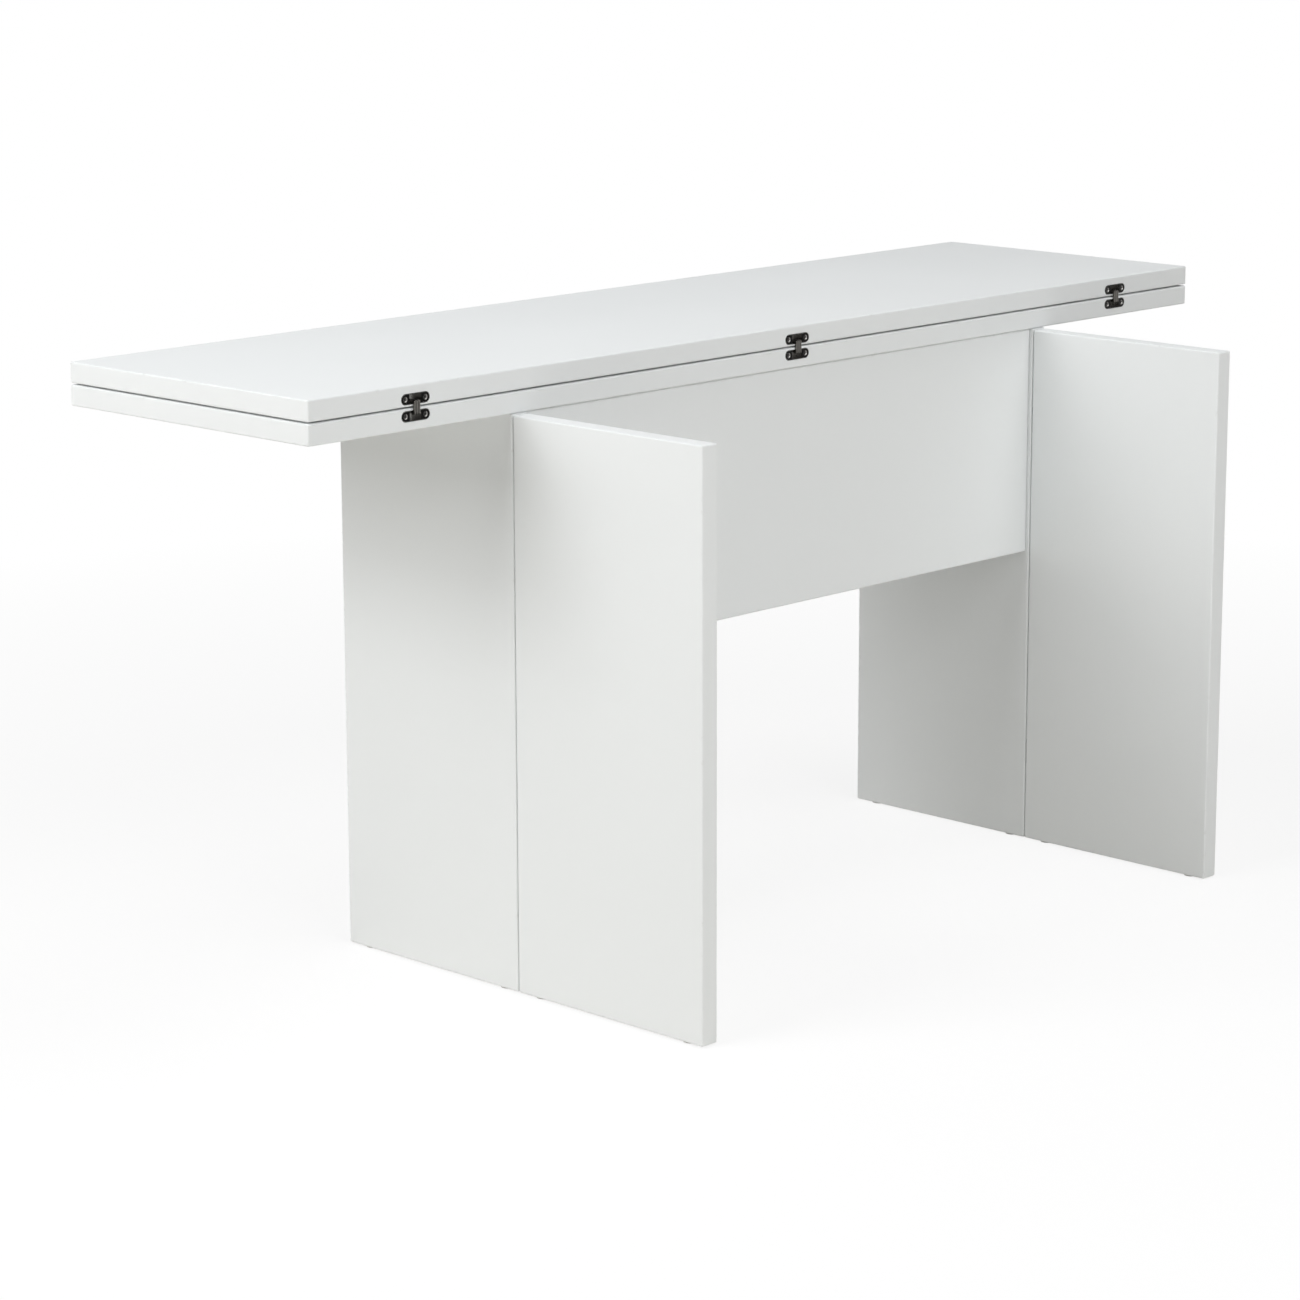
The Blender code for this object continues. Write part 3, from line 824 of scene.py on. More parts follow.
def smoothed(mesh: Mesh) -> Mesh:
    """Shades a mesh smooth between its sharp edges, with flat faces kept flat.

    Args:
        mesh: Mesh to shade.

    Returns:
        A mesh that holds its own normals.
    """
    mesh.shade_smooth()
    mesh.set_sharp_from_angle(angle=SHARP_ANGLE)
    item = shown("shading_helper", mesh)
    modifier = item.modifiers.new("flat_faces_lead", "WEIGHTED_NORMAL")
    modifier.mode = "FACE_AREA"
    modifier.weight = FLAT_FACES_LEAD
    modifier.keep_sharp = True
    result = evaluated(item)
    bpy.data.objects.remove(item)
    return result


def moved(mesh: Mesh, matrix: Matrix) -> Mesh:
    """A copy of a mesh at another place.

    Args:
        mesh: The mesh.
        matrix: Where the copy goes.

    Returns:
        The copy.
    """
    copy = mesh.copy()
    copy.transform(matrix)
    return copy


def axes(origin: Vector, x: Vector, y: Vector, z: Vector) -> Matrix:
    """A placing matrix from an origin and three right-handed axes."""
    return Matrix.Translation(origin) @ Matrix((x, y, z)).transposed().to_4x4()


def dress(mesh: Mesh, finish: Material) -> None:
    """Makes a material the only one of a mesh."""
    mesh.materials.clear()
    mesh.materials.append(finish)


def write_vectors(mesh: Mesh, name: str, values: Iterable[Sequence[float]]) -> None:
    """Stores a vector for each vertex of a mesh.

    Args:
        mesh: Mesh to store them in.
        name: Name of the attribute.
        values: One vector for each vertex.
    """
    attribute = mesh.attributes.new(name, "FLOAT_VECTOR", "POINT")
    attribute.data.foreach_set("vector", [part for value in values for part in value])


def spots(mesh: Mesh) -> list[Vector]:
    """Where the vertices of a mesh lie."""
    return [vertex.co.copy() for vertex in mesh.vertices]


def grown(item: Object, tree: NodeTree, values: Values, ease: Values | None = None) -> Object:
    """Runs a geometry tree on an object and keeps the result as its plain mesh.

    Args:
        item: Object whose mesh the tree starts from.
        tree: The tree.
        values: Values of the tree's named inputs.
        ease: Settings of a bevel that follows, if there is one.

    Returns:
        The same object, without modifiers.
    """
    modifier = item.modifiers.new(tree.name, "NODES")
    modifier.node_group = tree
    identifiers = {entry.name: entry.identifier for entry in tree.interface.items_tree}
    for name, value in values.items():
        modifier[identifiers[name]] = value
    if ease:
        bevel = item.modifiers.new("eased_edges", "BEVEL")
        for key, value in ease.items():
            setattr(bevel, key, value)
    mesh = evaluated(item)
    item.modifiers.clear()
    item.data = smoothed(mesh)
    return item


# Pieces


GROUPS = frame["record"]["behaviour"]["bodies"]
BODIES = {node: body for body, nodes in GROUPS.items() for node in nodes}
PIVOTS = {joint["name"]: Vector(joint["pos_m"]) for joint in frame["joints"]}


def centre(node: str) -> Vector:
    """The middle of a CAD node's box."""
    low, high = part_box(node)
    return (low + high) / 2


def extent(node: str) -> Vector:
    """The size of a CAD node's box."""
    low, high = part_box(node)
    return high - low


def above_floor(node: str) -> Matrix:
    """The place on the floor below the middle of a CAD node."""
    middle = centre(node)
    return Matrix.Translation((middle.x, middle.y, 0))


def adopt(piece: Object, body: str, nodes: Iterable[str] = ()) -> None:
    """Makes a finished piece part of the table.

    Args:
        piece: The piece, at the origin with its place in its mesh.
        body: Body that it moves with.
        nodes: CAD nodes that it stands for.
    """
    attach(piece, body)
    if nodes:
        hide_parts(*nodes)
    LOG.info("%s moves with %s, %d faces", piece.name, body, len(piece.data.polygons))


def bore(node: str, run: Way) -> Mesh:
    """A cutter for the hole that a round CAD node lies in.

    Args:
        node: The round piece.
        run: Direction of its axis, which is level.

    Returns:
        The cutter.
    """
    along = run.vector
    side = Way.UP.vector
    half = extent(node).dot(along) / 2 + SEAT
    radius = extent(node).dot(side) / 2 + SEAT
    rod = prism("bore", circle(radius), -half, half)
    return moved(rod, axes(centre(node), side, along.cross(side), along))


@dataclass
class Board:
    """A lacquered board with eased edges, cut for what is let into it."""

    node: str
    edge_radius: float = 0.0022
    edge_steps: int = 5

    def build(self, cutters: Iterable[Mesh], finish: Material) -> None:
        """Builds the board in the place of its CAD node.

        Args:
            cutters: What is cut out of it.
            finish: Its material.
        """
        low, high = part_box(self.node)
        bm = bmesh.new()
        bm.from_mesh(block(self.node, low, high))
        rounding = {"offset": self.edge_radius, "segments": self.edge_steps, "profile": ROUND_PROFILE}
        bmesh.ops.bevel(bm, geom=bm.edges[:], affect="EDGES", clamp_overlap=True, **rounding)
        mesh = smoothed(carved(as_mesh(f"{self.node}_board", bm), removed=cutters))
        points = spots(mesh)
        write_vectors(mesh, LOW_INSET, [point - low for point in points])
        write_vectors(mesh, HIGH_INSET, [high - point for point in points])
        dress(mesh, finish)
        adopt(shown(f"{self.node}_board", mesh), BODIES[self.node], [self.node])


@dataclass(frozen=True)
class HingeSide:
    """The housings in one board, and the arms that turn on them."""

    board: str
    word: str
    hinges: tuple[str, ...]
    facing: Way
    run: Way
    reach: Way  # from the pivot out of the pocket, as the table stands
    across: Way  # from the pivot over to the other board
    pack: Pack
    pivot: str  # joint that the arms turn on

    @property
    def housings(self) -> list[str]:
        """Nodes of the housings."""
        return [f"{hinge}_{self.word}_housing" for hinge in self.hinges]

    @property
    def arms(self) -> list[str]:
        """Nodes of the arms."""
        return [f"{hinge}_{self.word}_arm" for hinge in self.hinges]

    def seat(self, node: str) -> Matrix:
        """Where a housing sits: its plate's face at zero, facing along Z, its length along Y.

        Args:
            node: The housing.

        Returns:
            The placing matrix.
        """
        facing = self.facing.vector
        along = self.run.vector
        depth = abs(extent(node).dot(facing))
        return axes(centre(node) + facing * depth / 2, along.cross(facing), along, facing)

    def pivot_at(self, node: str) -> Vector:
        """The middle of an arm's pivot.

        Args:
            node: The arm.

        Returns:
            The point.
        """
        along = self.run.vector
        pivot = PIVOTS[self.pivot]
        return pivot + along * (centre(node) - pivot).dot(along)


def hinge_sides() -> list[HingeSide]:
    """Lists the two sides of the top's hinges and of each leg's hinges.

    Returns:
        The sides.
    """
    top = tuple(f"top_hinge_{place}" for place in ("left", "middle", "right"))
    front, back, up, down, right = Way.FRONT, Way.BACK, Way.UP, Way.DOWN, Way.RIGHT
    pair, triple = Pack.PAIR, Pack.TRIPLE
    sides = [
        HingeSide("lower_leaf", "lower", top, front, right, front, up, pair, "top_lower_arm_turn"),
        HingeSide("upper_leaf", "upper", top, front, right, front, down, triple, "top_upper_arm_turn"),
    ]
    for side, outward in SIDES.items():
        names = tuple(f"{side}_hinge_{level}" for level in LEVELS)
        leg, wing = f"{side}_leg_arm_turn", f"{side}_wing_arm_turn"
        sides.append(HingeSide(f"{side}_fixed_leg", "leg", names, front, up, outward, front, pair, leg))
        sides.append(HingeSide(f"{side}_wing", "wing", names, back, up, outward, back, triple, wing))
    return sides


@dataclass
class HingeCasting:
    """A cast hinge housing: a round-ended plate over a pocketed body, with two countersunk holes.

    It is drawn with the plate's face at zero, its length along Y and the body below.
    """

    length: float
    width: float
    depth: float
    plate: float = 0.002
    plate_ease: float = 0.0003
    body_length: float = 0.0241
    body_step: float = 0.0003
    body_corner: float = 0.002
    pocket_length: float = 0.0181
    pocket_rim: float = 0.0009
    back_wall: float = 0.0015
    screw_spacing: float = 0.0305
    screw_hole: float = 0.0036
    screw_head: float = 0.0070

    @property
    def screw_places(self) -> list[Vector]:
        """Where the screws sit on the plate."""
        return [Vector((0, sign * self.screw_spacing / 2, 0)) for sign in (-1, 1)]

    def mesh(self) -> Mesh:
        """Builds the housing.

        Returns:
            Its mesh.
        """
        ease = self.plate_ease
        middle = EASED_MIDDLE * ease
        insets = ((0.0, self.plate), (0.0, ease), (middle, middle), (ease, 0.0))
        layers = [(self._plate_outline(-inset), -height) for inset, height in insets]
        plate = loft("hinge_casting", layers)
        body = prism("hinge_body", self._body_outline(0.0), -self.depth, -self.plate / 2)
        side = self.width / 2 - self.pocket_rim
        end = self.pocket_length / 2
        pocket = block("pocket", (-side, -end, self.back_wall - self.depth), (side, end, self.plate))
        holes = [self._countersink(place) for place in self.screw_places]
        mesh = smoothed(carved(plate, [body], [pocket, *holes]))
        write_vectors(mesh, PLATE_PLACE, spots(mesh))
        return mesh

    def _countersink(self, place: Vector) -> Mesh:
        """The cutter of a screw hole.

        Args:
            place: Where the screw sits.

        Returns:
            The cutter.
        """
        hole = self.screw_hole / 2
        cone = self.screw_head / 2 - hole
        layers = [(circle(hole), -2 * self.plate), (circle(hole), -cone)]
        layers.append((circle(hole + 2 * cone), cone))
        return moved(loft("countersink", layers), Matrix.Translation(place))

    def _plate_outline(self, clearance: float) -> Outline:
        """The outline of the plate, with a clearance all round."""
        return stadium(self.length + 2 * clearance, self.width + 2 * clearance)

    def _body_outline(self, clearance: float) -> Outline:
        """The outline of the body, with a clearance all round."""
        width = self.width - 2 * self.body_step + 2 * clearance
        return rounded_rectangle(self.body_length + 2 * clearance, width, self.body_corner + clearance)

    def recess(self) -> Mesh:
        """The two-step recess that a board is routed to.

        Returns:
            The cutter.
        """
        upper = prism("recess", self._plate_outline(SEAT), -self.plate - SEAT, self.plate)
        lower = prism("recess_body", self._body_outline(SEAT), -self.depth - SEAT, 0.0)
        return carved(upper, [lower])


@dataclass
class LinkPlates:
    """The arms of a cross hinge: packs of thin steel plates on a pivot pin."""

    width: float = 0.0025
    pivot_reach: float = 0.006
    bar_proud: float = 0.0015
    bend_reach: float = 0.007
    nose_turn: float = 0.0025
    nose_rise: float = 0.0005
    pair_thickness: float = 0.002
    triple_thickness: float = 0.0013
    gap: float = 0.00025
    pin_radius: float = 0.001
    pin_length: float = 0.0215
    pin_sides: int = 24
    edge_ease: float = 0.00018
    ease_steps: int = 2
    tree: NodeTree = field(init=False)

    MERGE_DISTANCE: ClassVar[float] = 1e-6

    def __post_init__(self) -> None:
        """Builds the node tree that all the packs share."""
        self.tree = self._pack_tree()

    def _pack_tree(self) -> NodeTree:
        """A tree that thickens flat outlines, repeats them along an axis and pins each lone point.

        Returns:
            The tree.
        """
        inputs = {"Outlines": "Geometry", "Plates": "Int", "Pitch": "Float", "Thickness": "Float"}
        inputs |= {"Along": "Vector", "Pin Radius": "Float", "Pin Length": "Float", "Pin Sides": "Int"}
        sheet = ShapeSheet("link_plate_pack", inputs, "Arms")
        given = sheet.given
        along = given["Along"]
        # One plate, centred on its outline
        down = sheet.scaled(along, sheet.math("MULTIPLY", given["Thickness"], -0.5))
        flat = sheet.shifted(given["Outlines"], down)
        feeds = {"Mesh": flat, "Offset": along, "Offset Scale": given["Thickness"], "Individual": False}
        raised = sheet.result("GeometryNodeExtrudeMesh", feeds, mode="FACES")
        underside = sheet.result("GeometryNodeFlipFaces", {"Mesh": flat})
        closed = sheet.joined(raised, underside)
        feeds = {"Geometry": closed, "Distance": self.MERGE_DISTANCE}
        plate = sheet.result("GeometryNodeMergeByDistance", feeds)
        # The pack
        step = sheet.scaled(along, given["Pitch"])
        start = sheet.math("MULTIPLY", sheet.math("SUBTRACT", given["Plates"], 1.0), -0.5)
        feeds = {"Count": given["Plates"], "Start Location": sheet.scaled(step, start), "Offset": step}
        pack = sheet.placed(plate, sheet.result("GeometryNodeMeshLine", feeds))
        # The pins
        feeds = {"Radius": given["Pin Radius"], "Depth": given["Pin Length"]}
        pin = sheet.result("GeometryNodeMeshCylinder", feeds | {"Vertices": given["Pin Sides"]})
        lone = sheet.equal(sheet.result("GeometryNodeInputMeshVertexNeighbors"), 0)
        pins = sheet.placed(pin, given["Outlines"], Selection=lone, Rotation=sheet.turn_to(along))
        return sheet.finished(sheet.joined(pack, pins))

    def outline(self) -> Outline:
        """One arm, about its own pivot: out of the pocket along X, across along Y, and back in.

        Returns:
            Its outline.
        """
        half = self.width / 2
        near = Vector((self.pivot_reach + self.bar_proud, 0))
        far = near + Vector((0, self.pivot_reach + self.bend_reach))
        line = [Vector((0, 0)), near, far, far + Vector((-self.nose_turn, self.nose_rise))]
        runs = [(b - a).normalized() for a, b in zip(line, line[1:])]
        headings = [math.atan2(run.y, run.x) for run in runs]
        points = arc(*line[0], half, headings[0] + math.pi / 2, math.pi)
        for corner, heading, following in zip(line[1:], headings, headings[1:]):
            points += arc(*corner, half, heading - math.pi / 2, following - heading)
        points += arc(*line[-1], half, headings[-1] - math.pi / 2, math.pi)
        for corner, run, following in reversed(list(zip(line[1:], runs, runs[1:]))):
            inner = (following - run).normalized()
            spot = corner + inner * half / inner.dot(Vector((-run.y, run.x)))
            points.append((spot.x, spot.y))
        return points

    def build(self, side: HingeSide, finish: Material) -> None:
        """Builds all the arms of one body.

        Args:
            side: The side whose arms they are.
            finish: Their material.
        """
        along = side.run.vector
        out, over = side.reach.vector, side.across.vector
        points = self.outline()
        if out.cross(over).dot(along) < 0:
            points.reverse()
        bm = bmesh.new()
        for node in side.arms:
            pivot = side.pivot_at(node)
            bm.faces.new([bm.verts.new(pivot + out * x + over * y) for x, y in points])
            bm.verts.new(pivot)
        body = BODIES[side.arms[0]]
        item = shown(f"{body}_plates", as_mesh(f"{body}_outlines", bm))
        thickness = self.pair_thickness if side.pack is Pack.PAIR else self.triple_thickness
        pitch = self.pair_thickness + self.triple_thickness + 2 * self.gap
        values = {"Plates": side.pack.value, "Pitch": pitch, "Thickness": thickness, "Along": along}
        values |= {"Pin Radius": self.pin_radius, "Pin Length": self.pin_length}
        values |= {"Pin Sides": self.pin_sides, "Finish": finish}
        ease = {"width": self.edge_ease, "segments": self.ease_steps, "limit_method": "ANGLE"}
        adopt(grown(item, self.tree, values, ease), body, side.arms)


@dataclass(frozen=True)
class ScrewKind:
    """Sizes of a cross-head screw, with heights from the face that it is driven into."""

    name: str
    low_radius: float
    low_height: float
    high_radius: float
    high_height: float
    shank_radius: float
    shank_length: float
    recess_length: float
    recess_width: float
    recess_depth: float

    @property
    def sizes(self) -> dict[str, float]:
        """Every size by the name of its input in the node tree."""
        names = [entry.name for entry in fields(self)[1:]]
        return {name.replace("_", " ").title(): getattr(self, name) for name in names}


HINGE_SCREW = ScrewKind(
    "hinge_screw", low_radius=0.0015, low_height=-0.0019, high_radius=0.0022, high_height=-0.00125,
    shank_radius=0.0013, shank_length=0.010,
    recess_length=0.0028, recess_width=0.0007, recess_depth=0.0008,
)
BRACKET_SCREW = ScrewKind(
    "bracket_screw", low_radius=0.0038, low_height=0.0, high_radius=0.0027, high_height=0.0021,
    shank_radius=0.0018, shank_length=0.012,
    recess_length=0.0042, recess_width=0.0010, recess_depth=0.0013,
)


class Screws:
    """Cross-head screws, set on points that say which way they face."""

    HEAD_SIDES = 28
    SEED = 7
    SHANK_OVERLAP = 0.25  # share of the head's height that the shank reaches into

    def __init__(self) -> None:
        """Builds the node tree and starts with no screws."""
        self.tree = self._screw_tree()
        self.places: dict[tuple[ScrewKind, str], list[tuple[Vector, Vector]]] = {}

    def _screw_tree(self) -> NodeTree:
        """A tree that makes one screw and puts it on every point, each with a turn of its own.

        Returns:
            The tree.
        """
        inputs = {"Points": "Geometry", **dict.fromkeys(HINGE_SCREW.sizes, "Float")}
        sheet = ShapeSheet("cross_head_screws", inputs | {"Sides": "Int", "Seed": "Int"}, "Screws")
        given = sheet.given
        # Head and shank
        tall = sheet.math("SUBTRACT", given["High Height"], given["Low Height"])
        feeds = {"Radius Top": given["High Radius"], "Radius Bottom": given["Low Radius"], "Depth": tall}
        cone = sheet.result("GeometryNodeMeshCone", feeds | {"Vertices": given["Sides"]})
        head = sheet.shifted(cone, sheet.upright(given["Low Height"]))
        feeds = {"Radius": given["Shank Radius"], "Depth": given["Shank Length"]}
        rod = sheet.result("GeometryNodeMeshCylinder", feeds | {"Vertices": given["Sides"]})
        overlap = sheet.math("MULTIPLY", tall, self.SHANK_OVERLAP)
        middle = sheet.math("MULTIPLY", given["Shank Length"], 0.5)
        sunk = sheet.math("SUBTRACT", sheet.math("ADD", given["Low Height"], overlap), middle)
        shank = sheet.shifted(rod, sheet.upright(sunk))
        union = sheet.add("GeometryNodeMeshBoolean", operation="UNION", solver="EXACT")
        solid = sheet.gathered(union, "Mesh 2", head, shank)
        # Cross recess
        top = sheet.upright(given["High Height"])
        twice = sheet.math("MULTIPLY", given["Recess Depth"], 2.0)
        bars = []
        for first, second in (("Recess Length", "Recess Width"), ("Recess Width", "Recess Length")):
            feeds = {"X": given[first], "Y": given[second], "Z": twice}
            size = sheet.result("ShaderNodeCombineXYZ", feeds)
            bars.append(sheet.shifted(sheet.result("GeometryNodeMeshCube", {"Size": size}), top))
        feeds = {"Mesh 1": solid}
        cut = sheet.add("GeometryNodeMeshBoolean", feeds, operation="DIFFERENCE", solver="EXACT")
        screw = sheet.gathered(cut, "Mesh 2", *bars)
        # One on every point
        named = {"Name": SCREW_FACING}
        facing = sheet.result("GeometryNodeInputNamedAttribute", named, data_type="FLOAT_VECTOR")
        spin = sheet.upright(sheet.chance(0.0, math.pi / 2, given["Seed"]))
        own = sheet.result("FunctionNodeEulerToRotation", {"Euler": spin})
        feeds = {"Rotation": sheet.turn_to(facing), "Rotate By": own}
        turned = sheet.result("FunctionNodeRotateRotation", feeds, rotation_space="LOCAL")
        return sheet.finished(sheet.placed(screw, given["Points"], Rotation=turned))

    def drive(self, kind: ScrewKind, body: str, place: Vector, facing: Vector) -> None:
        """Notes one screw.

        Args:
            kind: Which screw.
            body: Body that it moves with.
            place: Point on the face that it is driven into.
            facing: Direction that its head faces.
        """
        self.places.setdefault((kind, body), []).append((place, facing))

    def build(self, finishes: dict[ScrewKind, Material]) -> None:
        """Builds the screws that were noted, one mesh for each kind and body.

        Args:
            finishes: The material of each kind.
        """
        for (kind, body), places in self.places.items():
            points = bpy.data.meshes.new(f"{kind.name}_points")
            points.from_pydata([place for place, _ in places], [], [])
            write_vectors(points, SCREW_FACING, [facing for _, facing in places])
            values = {"Sides": self.HEAD_SIDES, "Seed": self.SEED, "Finish": finishes[kind]} | kind.sizes
            item = grown(shown(f"{kind.name}s_{body}", points), self.tree, values)
            adopt(item, body)


@dataclass
class Bracket:
    """A bent steel angle, drawn with its flanges along X and Z from the bend and its width along Y."""

    flange: float
    width: float
    thickness: float = 0.002
    bend_radius: float = 0.0018
    corner: float = 0.006
    corner_steps: int = 8
    hole_radius: float = 0.00225
    hole_reach: float = 0.024
    hole_spacing: float = 0.016

    SLACK: ClassVar[float] = 0.1  # share of the thickness by which an edge as long may differ from it

    def mesh(self) -> Mesh:
        """Builds the bracket.

        Returns:
            Its mesh.
        """
        thick, long = self.thickness, self.flange
        outer = self._bend(self.bend_radius + thick)
        inner = self._bend(self.bend_radius)
        profile = [(long, 0), (long, thick), *reversed(inner), (thick, long), (0, long), *outer]
        bent = prism("bracket", profile, -self.width / 2, self.width / 2)
        bent.transform(axes(Vector(), Way.RIGHT.vector, Way.UP.vector, Way.FRONT.vector))
        bm = bmesh.new()
        bm.from_mesh(bent)
        ends = [edge for edge in bm.edges if self._is_free_corner(edge)]
        rounding = {"offset": self.corner, "segments": self.corner_steps, "profile": ROUND_PROFILE}
        bmesh.ops.bevel(bm, geom=ends, affect="EDGES", **rounding)
        drill = prism("hole", circle(self.hole_radius), -thick, 2 * thick)
        upright = axes(Vector(), Way.UP.vector, Way.FRONT.vector, Way.RIGHT.vector)
        holes = []
        for sign in (-1, 1):
            level = Matrix.Translation((self.hole_reach, sign * self.hole_spacing / 2, 0))
            holes += [moved(drill, level), moved(drill, upright @ level)]
        return smoothed(carved(as_mesh("bracket", bm), removed=holes))

    def _bend(self, radius: float) -> Outline:
        """Points round the bend, from the upright flange to the level one."""
        middle = self.bend_radius + self.thickness
        return arc(middle, middle, radius, math.pi, math.pi / 2)

    def _is_free_corner(self, edge: bmesh.types.BMEdge) -> bool:
        """Whether an edge is as long as the sheet is thick and lies at the end of a flange.

        Args:
            edge: An edge of the bent sheet.

        Returns:
            Whether it is one of the corners to round.
        """
        middle = (edge.verts[0].co + edge.verts[1].co) / 2
        at_end = max(middle.x, middle.z) > self.flange - self.corner / 2
        return at_end and abs(edge.calc_length() - self.thickness) < self.thickness * self.SLACK


def turned(profile: Sequence[tuple[float, float]], removed: Iterable[Mesh] = ()) -> Mesh:
    """Makes a turned piece along Z.

    Args:
        profile: Radii and heights from the bottom up.
        removed: What is cut out of it.

    Returns:
        The mesh, which holds the place of each point for the wear.
    """
    body = loft("round_fitting", [(circle(radius), height) for radius, height in profile])
    mesh = smoothed(carved(body, removed=removed))
    write_vectors(mesh, PLATE_PLACE, spots(mesh))
    return mesh


@dataclass
class Cam:
    """A cam of the panel's joints, drawn along Z with its face at zero and a cross for a driver."""

    radius: float
    depth: float
    ease: float = 0.0005
    cross_length: float = 0.0075
    cross_width: float = 0.0014
    cross_depth: float = 0.002

    def mesh(self) -> Mesh:
        """Builds the cam.

        Returns:
            Its mesh.
        """
        long, wide, deep = self.cross_length / 2, self.cross_width / 2, self.cross_depth
        bars = [block("cross", (-x, -y, -deep), (x, y, deep)) for x, y in ((long, wide), (wide, long))]
        profile = [(self.radius, -self.depth), (self.radius, -self.ease), (self.radius - self.ease, 0.0)]
        return turned(profile, bars)


@dataclass
class Glide:
    """A glide under a leg, drawn up from the floor: a disc, and a spigot that stands in the board."""

    radius: float
    height: float
    ease: float = 0.0008
    disc_height: float = 0.002
    spigot_radius: float = 0.0025

    def mesh(self) -> Mesh:
        """Builds the glide.

        Returns:
            Its mesh.
        """
        middle = EASED_MIDDLE * self.ease
        profile = [(self.radius - self.ease, 0.0), (self.radius - middle, middle)]
        profile += [(self.radius, self.ease), (self.radius, self.disc_height)]
        profile += [(self.spigot_radius, self.disc_height), (self.spigot_radius, self.height)]
        return turned(profile)

    def bore(self) -> Mesh:
        """The cutter of the hole that the spigot stands in."""
        return prism("spigot_bore", circle(self.spigot_radius + SEAT), 0.0, self.height + SEAT)


